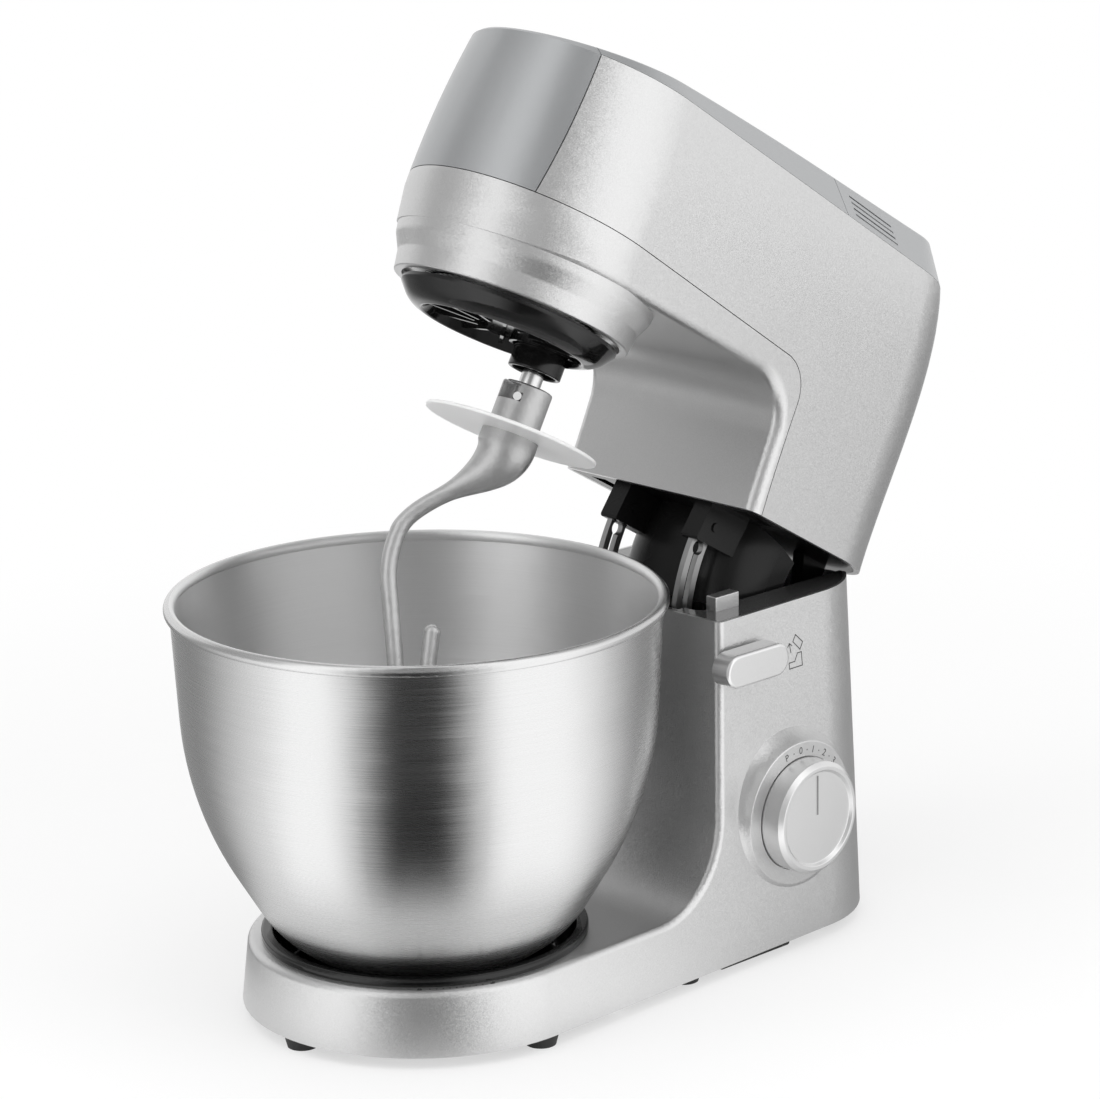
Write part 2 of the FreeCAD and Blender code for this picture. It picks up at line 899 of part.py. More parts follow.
def release_spring():
    """Return spring as a sleeve round the stem, against the wall."""
    outer_r = lever_stem_r + slide_gap + spring_wire
    end = wall_x(release_y, release_z + outer_r) - stand_wall - seat_gap
    start = end - spring_length
    outer = rod(outer_r, start, end, release_y, release_z)
    return outer.cut(rod(lever_stem_r + slide_gap, start, end, release_y, release_z))


# Head shells

def falling(shape):
    """Turned about the brow above the bowl axis, so that it falls towards the rear as the brow does."""
    shape.rotate(V(0, 0, brow_z), V(1, 0, 0), -brow_fall)
    return shape


def head_form(inset):
    """Outer form of the closed head, drawn in by inset."""
    def section(half, tail, z):
        return plan_wire(half - inset, half - head_side_taper - inset, hinge_reach + tail - inset,
                         head_corner_r - inset, z)
    walls = Part.makeLoft([
        section(neck_half, neck_tail, head_bottom),
        section(belly_half, belly_tail, belly_z),
        section(shoulder_half, shoulder_tail, shoulder_z),
        falling(section(brow_half, brow_tail, brow_z)),
    ], True, False)
    top_half = brow_half - inset - crown_rise
    crown = Part.makeLoft([
        falling(section(brow_half, brow_tail, brow_z)),
        falling(plan_wire(top_half, top_half - head_side_taper, hinge_reach + brow_tail - inset - crown_rear,
                          head_corner_r - inset - crown_rise, brow_z + crown_rise)),
    ], True, True)
    lean = math.tan(math.radians(neck_front_lean))
    under = underside_z + inset
    front = neck_front + inset
    top_rear_y = hinge_reach + top_tail
    apex_z = brow_z + top_apex_rise - inset
    front_slope = (top_apex_rise - top_front_rise) / (top_apex_y - top_front_y)
    rear_slope = (top_tail_rise - top_apex_rise) / (top_rear_y - top_apex_y)
    outline = [
        (-far, under, 0),
        (front - (under - head_bottom) * lean, under, throat_r + inset),
        (front, head_bottom, 0),
        (far, head_bottom, 0),
        (far, apex_z + (far - top_apex_y) * rear_slope, 0),
        (top_apex_y, apex_z, top_bend),
        (-far, apex_z - (far + top_apex_y) * front_slope, 0),
    ]
    return walls.fuse(crown).common(across(outline, -far, far)).removeSplitter()


def nose_r(z):
    """Radius of the round nose, which narrows from the belly down to the collar."""
    return nose_low_r + (belly_half + nose_lap - nose_low_r) * (z - nose_low_z) / (belly_z - nose_low_z)


def nose_trim(inset):
    """What is taken off the front below the belly, so that the nose narrows towards the collar."""
    low_r = nose_r(nose_low_z) + nose_shift - inset
    high_r = nose_r(belly_z) + nose_shift - inset
    cone = turned([(0, nose_low_z, 0), (low_r, nose_low_z, 0), (high_r, belly_z, 0), (0, belly_z, 0)])
    cone.translate(V(0, nose_shift, 0))
    return block(-far, far, -far, 0, nose_low_z, belly_z).cut(cone)


def above_brow(lift):
    """Everything above the falling brow, raised by lift."""
    return falling(block(-far, far, -far, far, brow_z + lift, brow_z + far))


def parting_height(y):
    """Height of the parting line, which falls from the nose towards the neck."""
    return parting_z - (y + belly_half) * math.tan(math.radians(parting_fall))


def parting_region(gap):
    """The lower shell's side of the parting line, grown by gap."""
    lean = math.tan(math.radians(neck_front_lean))
    neck_y = neck_front + parting_neck + gap
    bend_y = neck_y - (parting_height(neck_front) - head_bottom) * lean
    outline = [
        (-far, 0, 0),
        (-far, parting_height(-far) + gap, 0),
        (bend_y, parting_height(bend_y) + gap, parting_r + gap),
        (neck_y, head_bottom - 1, 0),
        (neck_y, 0, 0),
    ]
    return across(outline, -far, far)


def cap_region(gap):
    """The front cap's side of its seams, grown by gap."""
    low = parting_height(cap_seam_low) + seam - gap
    lean = (cap_seam_high - cap_seam_low) / (brow_z - low)
    top = brow_z + 2 * crown_rise
    outline = [
        (-far, parting_height(-far) + seam - gap, 0),
        (cap_seam_low + gap, low, 0),
        (cap_seam_low + gap + lean * (top - low), top, 0),
        (-far, top, 0),
    ]
    return across(outline, -far, far)


def outer_head():
    form = rounded_edges(head_form(0), head_edge_r, underside_edge)
    tops = [face for face in form.Faces if face.CenterOfMass.z > brow_z and faces_up(face)]

    def crown_edge(edge):
        return sum(any(edge.isSame(other) for other in face.Edges) for face in tops) == 1
    return rounded_edges(form, top_edge_r, crown_edge).cut(nose_trim(0))


def faces_up(face):
    low_u, high_u, low_v, high_v = face.ParameterRange
    return face.normalAt((low_u + high_u) / 2, (low_v + high_v) / 2).z > 0.98


def underside_edge(edge):
    box = edge.BoundBox
    return box.ZMax < underside_z + 1e-3 and box.YMax < neck_front + 1e-3 and box.YMin < neck_front - 1e-3


def collar():
    """Turned collar of the hub: a plain lip, a soft waist and a flare into the round nose."""
    return turned([
        (collar_bore_r, collar_bottom, 0), (collar_r, collar_bottom, collar_edge_r),
        (collar_r + collar_draft, collar_bottom + collar_band, collar_waist_bend),
        (nose_low_r - running_gap, nose_low_z, nose_bend), (nose_r(case_z) - running_gap, case_z, 0),
        (collar_bore_r, case_z, 0),
    ])


def head_lower_shell(form, cavity):
    shell = form.common(parting_region(0)).cut(cavity)
    shell = shell.fuse(collar())
    return shell.cut(post(collar_bore_r, 0, case_z + 1)).removeSplitter()


def head_upper_shell(form, cavity):
    shell = form.cut(parting_region(seam)).cut(cap_region(seam)).cut(above_brow(0))
    return shell.cut(cavity).removeSplitter()


def front_cap(form, cavity):
    return form.common(cap_region(0)).cut(cavity).removeSplitter()


def top_cover(form, cavity):
    strip = form.common(above_brow(seam / 2)).cut(cap_region(seam))
    strip = strip.cut(block(-far, far, lid_seam_y - seam / 2, far, 0, far))
    return strip.cut(cavity).removeSplitter()


def rear_cover(form, cavity):
    lid = form.common(above_brow(seam / 2)).common(block(-far, far, lid_seam_y + seam / 2, far, 0, far))
    lid = lid.cut(cavity)
    grooves = []
    for i in range(vent_count):
        z = brow_z + vent_rise + i * vent_pitch
        x = brow_half - head_side_taper - (z - brow_z)
        start = lid_seam_y + vent_start
        for side in (-1, 1):
            groove = block(-vent_depth, vent_depth, start, start + vent_length, -vent_width / 2, vent_width / 2)
            groove.rotate(V(0, 0, 0), V(0, 1, 0), -side * 45)
            groove.translate(V(side * x, 0, z))
            grooves.append(groove)
    return lid.cut(falling(Part.makeCompound(grooves))).removeSplitter()


# Neck cover, hinge and tilt arms

def around_hinge(section, start, sweep):
    """Section in X and radius, drawn in front of the hinge, turned about the hinge axis."""
    face = Part.Face(section)
    solid = face.revolve(hinge, V(-1, 0, 0), sweep)
    solid.rotate(hinge, V(1, 0, 0), -start)
    return solid


def hinge_section(corners):
    return bent_wire(corners, lambda u, v: V(u, hinge_reach - v, hinge_z))


def polar(radius, angle):
    """Y and Z of a point in front of the hinge at an angle above the level."""
    turn = math.radians(angle)
    return hinge_reach - radius * math.cos(turn), hinge_z + radius * math.sin(turn)


def cowl():
    cowl_r = arm_mid_r - cowl_step

    def half_shell(inset):
        half = cowl_half - inset
        return hinge_section([
            (-half, cowl_r / 2, 0), (-half, cowl_r - inset, cowl_corner - inset),
            (half, cowl_r - inset, cowl_corner - inset), (half, cowl_r / 2, 0),
        ])
    outer = around_hinge(half_shell(0), cowl_start, -cowl_sweep)
    inner = around_hinge(half_shell(cowl_wall), 2 * cowl_start, -2 * cowl_start - cowl_sweep)
    below = block(-far, far, -far, far, -far, neck_floor)
    return outer.cut(inner).common(below)


def hinge_lug():
    front, rear = hinge_reach - lug_lead, hinge_reach + lug_trail
    web = across([
        (front, neck_floor, 0), (hinge_reach - lug_r, hinge_z, 0), (hinge_reach + lug_r, hinge_z, 0),
        (rear, hinge_z + lug_shoulder, lug_r), (rear, neck_floor, 0),
    ], lug_inner, lug_outer)
    return web.fuse(rod(lug_r, lug_inner, lug_outer, hinge_reach, hinge_z))


def bracket_half():
    return arm_plate / 2 + slide_gap + bracket_plate


def bracket_front_y(z):
    """Front of the brackets, which stays on a circle about the hinge just outside the tilt arms."""
    shield_r = arm_mid_r + arm_width / 2 + slide_gap + bracket_front
    return hinge_reach - math.sqrt(shield_r ** 2 - (z - hinge_z) ** 2)


def arm_band(side, low_r, high_r, half, start, sweep):
    """Band about the hinge, reaching half its width to both sides of one tilt arm's middle."""
    left, right = side * arm_x - half, side * arm_x + half
    section = hinge_section([(left, low_r, 0), (right, low_r, 0), (right, high_r, 0), (left, high_r, 0)])
    return around_hinge(section, start, sweep)


def bracket():
    """Block below the neck plate with a pocket for the top of one tilt arm."""
    low = head_bottom - bracket_depth
    front = bracket_front_y(low)
    rear = front + bracket_length
    body = across([
        (bracket_front_y(neck_floor), neck_floor, 0), (front, low, bracket_corner), (rear, low, bracket_corner),
        (rear, neck_floor, 0),
    ], arm_x - bracket_half(), arm_x + bracket_half())
    reach = arm_width / 2 + slide_gap
    return body.cut(arm_band(1, arm_mid_r - reach, arm_mid_r + reach, arm_plate / 2 + slide_gap,
                             2 * arm_top_angle, arm_low_angle - 2 * arm_top_angle))


def neck_cover():
    plate = head_form(head_wall + seat_gap).common(block(-far, far, -far, far, head_bottom, neck_floor))
    adds = [cowl()]
    for piece in (hinge_lug(), bracket()):
        adds += [piece, mirrored(piece)]
    cover = plate.multiFuse(adds)
    pockets = []
    block_y = release_y + block_lead
    for side in (-1, 1):
        middle = side * block_x
        pockets.append(block(middle - block_width / 2 - swing_gap, middle + block_width / 2 + swing_gap,
                             block_y - block_length / 2 - 2 * swing_gap,
                             block_y + block_length / 2 + 2 * swing_gap, 0, neck_floor + 1))
    pockets.append(rod(hinge_bush_r, -far, far, hinge_reach, hinge_z))
    pockets.append(rod(rivet_r, -far, far, *rivet_place()))
    pockets.append(post(motor_shaft_r + motor_shaft_room, 0, far, 0, motor_y))
    return cover.cut(Part.makeCompound(pockets)).removeSplitter()


def rivet_place():
    return polar(arm_mid_r - rivet_inset, rivet_angle)


def arm_rivets():
    reach = bracket_half()
    rivets = []
    for side in (-1, 1):
        middle = side * arm_x
        shank = rod(rivet_r, middle - reach - rivet_head, middle + reach + rivet_head, *rivet_place())
        heads = []
        for start in (middle - reach - rivet_head, middle + reach):
            heads.append(rod(rivet_r + rivet_head, start, start + rivet_head, *rivet_place()))
        rivets.append(shank.multiFuse(heads).removeSplitter())
    return Part.makeCompound(rivets)


def hinge_pin():
    return rod(hinge_pin_r, -cheek_outer, cheek_outer, hinge_reach, hinge_z)


def hinge_bushes():
    rings = []
    for side in (-1, 1):
        ends = sorted((side * lug_inner, side * (cheek_inner - seat_gap)))
        ring = rod(hinge_bush_r, ends[0], ends[1], hinge_reach, hinge_z)
        rings.append(ring.cut(rod(hinge_pin_r + running_gap, -far, far, hinge_reach, hinge_z)))
    return Part.makeCompound(rings)


def tilt_arm(side):
    inner, outer = arm_mid_r - arm_width / 2, arm_mid_r + arm_width / 2
    half = arm_plate / 2
    left, right = side * arm_x - half, side * arm_x + half
    arm = arm_band(side, inner, outer, half, arm_top_angle, arm_low_angle - arm_top_angle)
    pin_angle = -math.degrees(math.asin(release_drop / arm_mid_r))
    cuts = [arm_band(side, arm_mid_r - slot_half, arm_mid_r + slot_half, half, pin_angle, -head_tilt)]
    for angle in (pin_angle, pin_angle - head_tilt):
        cuts.append(rod(keyhole_r, left, right, *polar(arm_mid_r, angle)))
    cuts.append(rod(rivet_r, left, right, *rivet_place()))
    return arm.cut(Part.makeCompound(cuts)).removeSplitter()


# Gears

def involute(base_r, radius):
    return math.tan(math.acos(base_r / radius)) - math.acos(base_r / radius)


def gear_wire(teeth, tip_r, root_r, thinning, phase):
    """Closed outline of an involute gear with one tooth at the phase angle, in degrees."""
    pitch_r = gear_module * teeth / 2
    base_r = pitch_r * math.cos(math.radians(pressure_angle))
    low_r = max(base_r, root_r)
    half_pitch = math.pi / 2 / teeth - thinning / 2 / pitch_r + involute(base_r, pitch_r)

    def at(radius, angle):
        return V(radius * math.cos(angle), radius * math.sin(angle), 0)

    def flank_angle(radius):
        return half_pitch - involute(base_r, radius)
    middle_r = (low_r + tip_r) / 2
    edges = []
    for i in range(teeth):
        centre = math.radians(phase) + i * 2 * math.pi / teeth
        following = centre + 2 * math.pi / teeth
        for sign, first, last in ((-1, low_r, tip_r), (1, tip_r, low_r)):
            if sign < 0 and root_r < base_r:
                edges.append(Part.makeLine(at(root_r, centre - flank_angle(low_r)),
                                           at(low_r, centre - flank_angle(low_r))))
            edges.append(Part.Arc(at(first, centre + sign * flank_angle(first)),
                                  at(middle_r, centre + sign * flank_angle(middle_r)),
                                  at(last, centre + sign * flank_angle(last))).toShape())
            if sign < 0:
                edges.append(Part.Arc(at(tip_r, centre - flank_angle(tip_r)), at(tip_r, centre),
                                      at(tip_r, centre + flank_angle(tip_r))).toShape())
        if root_r < base_r:
            edges.append(Part.makeLine(at(low_r, centre + flank_angle(low_r)),
                                       at(root_r, centre + flank_angle(low_r))))
        edges.append(Part.Arc(at(root_r, centre + flank_angle(low_r)),
                              at(root_r, (centre + following) / 2),
                              at(root_r, following - flank_angle(low_r))).toShape())
    return Part.Wire(edges)


def ring_wire(radius):
    return Part.Wire(Part.makeCircle(radius))


def holed_face(outer, inner):
    return Part.makeFace([outer, inner], "Part::FaceMakerBullseye")


def gear(teeth, bore_r, z0, face, phase, y=0.0):
    pitch_r = gear_module * teeth / 2
    outline = gear_wire(teeth, pitch_r + gear_module, pitch_r - gear_module - tip_clearance, tooth_thinning, phase)
    blank = holed_face(outline, ring_wire(bore_r))
    blank.translate(V(0, y, z0))
    return blank.extrude(V(0, 0, face))


def ring_gear():
    spaces = gear_wire(ring_teeth, ring_pitch_r + gear_module + tip_clearance, ring_pitch_r - gear_module,
                       -tooth_thinning, 90)
    toothed = holed_face(ring_wire(ring_r), spaces)
    toothed.translate(V(0, 0, planet_z))
    band = toothed.extrude(V(0, 0, planet_face))
    return band.fuse(tube(ring_r, ring_r - ring_skirt, planet_z + planet_face, case_z)).removeSplitter()


# Hub and tool

def planet_cover():
    """Turning cover of the hub: a rim round a ribbed recess, with a well for the tool's bell."""
    rim_r = cover_r - cover_lip
    lip_r = rim_r - cover_lip_width
    recess_r = lip_r - cover_slope
    cover = turned([
        (0, cover_recess, 0), (recess_r, cover_recess, cover_rib), (lip_r, cover_bottom, cover_rib),
        (rim_r, cover_bottom + cover_lip_rise, cover_bend), (cover_r, cover_top - cover_sunk, cover_rib),
        (cover_r, cover_top, 0), (0, cover_top, 0),
    ])
    low = cover_recess - cover_rib_depth
    adds = [post(bell_r + 2 * cover_rib, low, cover_recess + 1, 0, orbit_r)]
    for i in range(cover_rib_count):
        rib = block(cover_rib_start, lip_r, -cover_rib / 2, cover_rib / 2, low, cover_recess + 1)
        rib.rotate(V(0, 0, 0), V(0, 0, 1), (i + 0.5) * 360 / cover_rib_count)
        adds.append(rib)
    wells = [post(bell_r + cover_rib, 0, cover_recess, 0, orbit_r), post(bush_r, 0, far, 0, orbit_r)]
    return cover.multiFuse(adds).cut(Part.makeCompound(wells)).removeSplitter()


def planet_carrier():
    plate = post(carrier_r, cover_top, cover_top + carrier_plate)
    shaft = post(carrier_shaft_r, cover_top, wheel_z + wheel_face + wheel_lift)
    return plate.fuse(shaft).cut(post(bush_r, 0, far, 0, orbit_r)).removeSplitter()


def planet_bush():
    return tube(bush_r, tool_shaft_r + running_gap, cover_recess, cover_top + carrier_plate, 0, orbit_r)


def planet_gear():
    return gear(planet_teeth, tool_shaft_r, planet_z, planet_face, 90, orbit_r)


def tool_shaft():
    return post(tool_shaft_r, tool_shaft_end, planet_z + planet_face + 2, 0, orbit_r).cut(drive_pin())


def drive_pin():
    """Cross pin of the tool shaft, which locks in the hook's slots."""
    reach = chuck_r + running_gap
    pin = Part.makeCylinder(drive_pin_r, 2 * reach, V(-reach, orbit_r, drive_pin_z), V(1, 0, 0))
    pin.rotate(V(0, orbit_r, 0), V(0, 0, 1), hook_turn + window_turn)
    return pin


def bell_collar():
    """Hollow bell on the tool shaft that sheds what climbs up it."""
    ceiling = bell_bottom + bell_hollow
    bell = turned([
        (tool_shaft_r, ceiling, 0), (bell_r - bell_wall, ceiling, bell_edge_r),
        (bell_r - bell_wall, bell_bottom, bell_edge_r), (bell_r, bell_bottom, bell_edge_r),
        (bell_r, bell_top, bell_edge_r), (tool_shaft_r, bell_top, 0),
    ])
    bell.translate(V(0, orbit_r, 0))
    return bell


def splash_disc():
    top = disc_z + disc_thickness
    plate = turned([
        (chuck_r - disc_lap, disc_z, 0), (disc_r, disc_z, disc_thickness / 2.5),
        (disc_r, top, disc_thickness / 2.5), (chuck_r - disc_lap, top, 0),
    ])
    plate.translate(V(0, orbit_r, 0))
    return plate


def hook_chuck():
    """Socket of the hook with the seat of the disc."""
    bore_r = tool_shaft_r + running_gap
    floor = tool_shaft_end - running_gap
    disc_top = disc_z + disc_thickness
    neck_r = chuck_r - disc_lap
    return turned([
        (bore_r, floor, 0), (bore_r, chuck_top, 0), (chuck_r, chuck_top, 1), (chuck_r, disc_top, 0),
        (neck_r, disc_top, 0), (neck_r, disc_z - bulb_start, 0), (0, disc_z - bulb_start, 0), (0, floor, 0),
    ])


def pin_slots():
    """Entry slots from the top of the socket, each with a window that ends at the seat of the cross pin."""
    half = drive_pin_r + running_gap
    low, high = drive_pin_z - half, drive_pin_z - half + window_height
    slots = [block(-far, far, -half, half, low, drive_pin_z + half)]
    entry = block(-far, far, -half, half, low, far)
    entry.rotate(V(0, 0, 0), V(0, 0, 1), -drive_pin_turn)
    slots.append(entry)
    for start in (0, 180):
        slots.append(sector(2 * chuck_r, tool_shaft_r, low, high, start - drive_pin_turn, drive_pin_turn))
    cuts = Part.makeCompound(slots)
    cuts.rotate(V(0, 0, 0), V(0, 0, 1), window_turn)
    return cuts


def held(share):
    return min(max(share, 0.0), 1.0)


def eased(share):
    """Runs from 0 to 1 with a level start and a level end."""
    return share * share * (3 - 2 * share)


def swan_neck():
    """Bulb of the hook that thins and bends out into its arm, through rings square to the bend."""
    run = swan_drop - swan_start
    rings = []
    for i in range(swan_steps + 1):
        drop = swan_drop * i / swan_steps
        bend = held((drop - swan_start) / run)
        slope = 6 * bend * (1 - bend) * hook_reach / run
        radius = bulb_r + (hook_r - bulb_r) * eased(held((drop - bulb_start) / (bulb_drop - bulb_start)))
        middle = V(hook_reach * eased(bend), 0, disc_z - drop)
        rings.append(Part.Wire(Part.makeCircle(radius, middle, V(slope, 0, -1))))
    return Part.makeLoft(rings, True, False)


def hook_arm():
    """Round bar from the swan neck down to the bowl's floor and up again to the tip."""
    bow_z = disc_z - swan_drop - hook_bow
    toe = hook_reach - (bow_z - hook_low_z) * math.tan(math.radians(hook_lean))
    tip = hook_tip_rise * math.tan(math.radians(hook_tip_lean)) - hook_heel
    path = bent_wire([
        (hook_reach, disc_z - swan_drop, 0), (hook_reach, bow_z, hook_bow_r), (toe, hook_low_z, hook_heel_r),
        (-hook_heel, hook_low_z, hook_heel_r), (tip, hook_tip_z, 0),
    ], on_radius, False)
    ring = Part.Wire(Part.makeCircle(hook_r, V(hook_reach, 0, disc_z - swan_drop), V(0, 0, -1)))
    arm = Part.Solid(path.makePipeShell([ring], True, False))
    return arm.fuse(Part.makeSphere(hook_r, V(tip, 0, hook_tip_z)))


def dough_hook():
    hook = hook_chuck().multiFuse([swan_neck(), hook_arm()]).cut(pin_slots())
    hook.rotate(V(0, 0, 0), V(0, 0, 1), hook_turn)
    hook.translate(V(0, orbit_r, 0))
    return hook.removeSplitter()


# Drive inside the head

def bearing_places():
    return (case_z - bearing_width, upper_bearing_z)


def gear_case():
    low, high = bearing_places()
    plate = post(case_r, case_z, case_z + case_plate)
    ear = post(lay_bush_r + lay_ear, case_z, case_z + case_plate, 0, lay_y)
    boss = post(bearing_r + bearing_wall, low, high + bearing_width)
    case = joined([plate, ear, boss])
    cuts = [post(bearing_r, z, z + bearing_width) for z in (low, high)]
    cuts.append(post(carrier_shaft_r + 1, 0, far))
    cuts.append(post(lay_bush_r, 0, far, 0, lay_y))
    return case.cut(Part.makeCompound(cuts))


def hub_bearings():
    return Part.makeCompound([tube(bearing_r, carrier_shaft_r + running_gap, z, z + bearing_width)
                              for z in bearing_places()])


def drive_wheel():
    return gear(wheel_teeth, carrier_shaft_r, wheel_z, wheel_face, 90)


def layshaft():
    shaft = post(layshaft_r, case_z + gear_gap, pulley_z + pulley_height, 0, lay_y)
    pinion = gear(pinion_teeth, layshaft_r - 1, wheel_z - 1, wheel_face + 2, 90 + 180 / pinion_teeth, lay_y)
    return shaft.fuse(pinion).removeSplitter()


def layshaft_bushes():
    bore_r = layshaft_r + running_gap
    low = tube(lay_bush_r, bore_r, case_z, case_z + case_plate + lay_bush_proud, 0, lay_y)
    high = tube(lay_bush_r, bore_r, chassis_z - lay_bush_proud, chassis_z + chassis_plate + lay_bush_proud, 0, lay_y)
    return Part.makeCompound([low, high])


def pulley(radius, bore_r, y):
    """Flanged pulley about an upright shaft at a distance behind the bowl axis."""
    top = pulley_z + pulley_height
    lip = pulley_flange
    rim = turned([
        (bore_r, pulley_z, 0), (radius + lip, pulley_z, 0), (radius + lip, pulley_z + lip / 2, 0),
        (radius, pulley_z + lip, 0), (radius, top - lip, 0), (radius + lip, top - lip / 2, 0),
        (radius + lip, top, 0), (bore_r, top, 0),
    ])
    rim.translate(V(0, y, 0))
    return rim


def large_pulley():
    wheel = pulley(large_pulley_r, layshaft_r, lay_y)
    recess = tube(large_pulley_r - pulley_rim, layshaft_r + pulley_rim, pulley_z + pulley_web,
                  pulley_z + pulley_height, 0, lay_y)
    return wheel.cut(recess)


def motor_pulley():
    return pulley(small_pulley_r, motor_shaft_r, motor_y)


def belt_loop(extra):
    """Outline of a belt round both pulleys, grown by extra."""
    span = motor_y - lay_y
    big, small = large_pulley_r + extra, small_pulley_r + extra
    dip = math.asin((big - small) / span)

    def rim(radius, centre_y, angle):
        return V(radius * math.cos(angle), centre_y + radius * math.sin(angle), 0)
    a, b = rim(big, lay_y, dip), rim(small, motor_y, dip)
    c, d = rim(small, motor_y, math.pi - dip), rim(big, lay_y, math.pi - dip)
    return Part.Wire([
        Part.makeLine(a, b), Part.Arc(b, rim(small, motor_y, math.pi / 2), c).toShape(),
        Part.makeLine(c, d), Part.Arc(d, rim(big, lay_y, -math.pi / 2), a).toShape(),
    ])


def drive_belt():
    band = holed_face(belt_loop(slide_gap + belt_thickness), belt_loop(slide_gap))
    band.translate(V(0, 0, pulley_z + belt_inset))
    return band.extrude(V(0, 0, pulley_height - 2 * belt_inset))


def post_places():
    return [(side * post_x, y) for side in (-1, 1) for y in (post_front_y, post_rear_y)]


def drive_chassis():
    front, rear = lay_y - chassis_lead, motor_y + motor_r
    plate = upright([(-chassis_half, front, chassis_corner), (chassis_half, front, chassis_corner),
                     (chassis_half, rear, chassis_corner), (-chassis_half, rear, chassis_corner)],
                    chassis_z, chassis_z + chassis_plate)
    frame = plate.multiFuse([post(post_r, case_z, chassis_z, x, y) for x, y in post_places()])
    cuts = [post(lay_bush_r, chassis_z - 1, far, 0, lay_y), post(motor_bearing_r, chassis_z - 1, far, 0, motor_y)]
    cuts += [post(chassis_screw_r, screw_tip_z(), far, x, y) for x, y in post_places()]
    return frame.cut(Part.makeCompound(cuts)).removeSplitter()


def screw_tip_z():
    return chassis_z + chassis_plate - chassis_screw_length


def chassis_screws():
    top = chassis_z + chassis_plate
    screws = []
    for x, y in post_places():
        head = post(chassis_screw_head_r, top, top + chassis_screw_head, x, y)
        screws.append(head.fuse(post(chassis_screw_r, screw_tip_z(), top + 1, x, y)).removeSplitter())
    return Part.makeCompound(screws)


def motor_can():
    can = post(motor_r, neck_floor, chassis_z, 0, motor_y)
    can = can.cut(post(motor_r - motor_wall, neck_floor + motor_wall, chassis_z - motor_wall, 0, motor_y))
    return can.cut(post(motor_bearing_r, 0, far, 0, motor_y))


def motor_bearings():
    return Part.makeCompound([tube(motor_bearing_r, motor_shaft_r + running_gap, z, z + motor_wall, 0, motor_y)
                              for z in (neck_floor, chassis_z - motor_wall)])


def motor_rotor():
    core = post(rotor_r, neck_floor + rotor_low, chassis_z - rotor_high, 0, motor_y)
    return core.fuse(post(motor_shaft_r, neck_floor, pulley_z + pulley_height, 0, motor_y)).removeSplitter()


def motor_fan():
    low = neck_floor + motor_wall + fan_low
    plate = tube(fan_r, motor_shaft_r, low, low + fan_plate, 0, motor_y)
    blades = []
    for i in range(fan_blades):
        blade = block(fan_hub_r, fan_r, -fan_blade / 2, fan_blade / 2, low, low + fan_height)
        blade.rotate(V(0, 0, 0), V(0, 0, 1), i * 360 / fan_blades)
        blade.translate(V(0, motor_y, 0))
        blades.append(blade)
    return plate.multiFuse(blades).removeSplitter()


# Building and writing

def stand_pieces():
    return {
        "stand_housing": stand_housing(), "bottom_plate": bottom_plate(), "plate_screws": plate_screws(),
        "rubber_feet": rubber_feet(), "cord_gland": cord_gland(), "column_deck": column_deck(),
        "deck_blocks": deck_blocks(),
        "bowl_seat": bowl_seat(), "mixing_bowl": mixing_bowl(), "bowl_foot": bowl_foot(),
        "speed_knob": speed_knob(), "knob_pointer": knob_pointer(), "knob_spindle": knob_spindle(),
        "speed_switch": speed_switch(), "control_board": control_board(), "release_lever": release_lever(),
        "release_pin": release_pin(), "release_spring": release_spring(), "hinge_pin": hinge_pin(),
    }


def head_pieces():
    form = outer_head()
    cavity = head_form(head_wall).cut(nose_trim(head_wall))
    return {
        "head_upper_shell": head_upper_shell(form, cavity), "head_lower_shell": head_lower_shell(form, cavity),
        "front_cap": front_cap(form, cavity), "top_cover": top_cover(form, cavity),
        "rear_cover": rear_cover(form, cavity), "neck_cover": neck_cover(), "hinge_bushes": hinge_bushes(),
        "tilt_arm_left": tilt_arm(-1), "tilt_arm_right": tilt_arm(1), "arm_rivets": arm_rivets(),
        "gear_case": gear_case(), "hub_bearings": hub_bearings(), "ring_gear": ring_gear(),
        "drive_wheel": drive_wheel(), "planet_carrier": planet_carrier(), "planet_cover": planet_cover(),
        "planet_bush": planet_bush(), "planet_gear": planet_gear(), "tool_shaft": tool_shaft(),
        "drive_pin": drive_pin(), "bell_collar": bell_collar(), "splash_disc": splash_disc(),
        "dough_hook": dough_hook(), "layshaft": layshaft(), "layshaft_bushes": layshaft_bushes(),
        "large_pulley": large_pulley(), "motor_pulley": motor_pulley(), "drive_belt": drive_belt(),
        "drive_chassis": drive_chassis(), "chassis_screws": chassis_screws(), "motor_can": motor_can(),
        "motor_bearings": motor_bearings(), "motor_rotor": motor_rotor(), "motor_fan": motor_fan(),
    }


def write(name, shape):
    shape.translate(V(0, bowl_axis_y, 0))
    shape.exportStep(os.path.join("parts", name + ".step"))
    box = shape.BoundBox
    print(name, "valid" if shape.isValid() else "INVALID", len(shape.Solids), "volume", round(shape.Volume),
          [round(v, 1) for v in (box.XMin, box.XMax, box.YMin, box.YMax, box.ZMin, box.ZMax)])


def main():
    os.makedirs("parts", exist_ok=True)
    for name, shape in stand_pieces().items():
        write(name, shape)
    for name, shape in head_pieces().items():
        shape.rotate(hinge, V(1, 0, 0), -head_tilt)
        write(name, shape)


if __name__ == "__main__":
    main()
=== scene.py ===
# %% [markdown]
# A tilt-head stand mixer, shown with its head up and the dough hook over the bowl.
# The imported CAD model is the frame. Every object is in metres and in that model's own axes: the front is
# towards -Y, the dial is on the +X side and +Z is up. This lesson adds the finishes, the small print and the
# slats of the vents, and sets up a studio.

# %% Load the frame
import json
import math

import bmesh
import bpy
from mathutils import Matrix, Vector
from mathutils.bvhtree import BVHTree

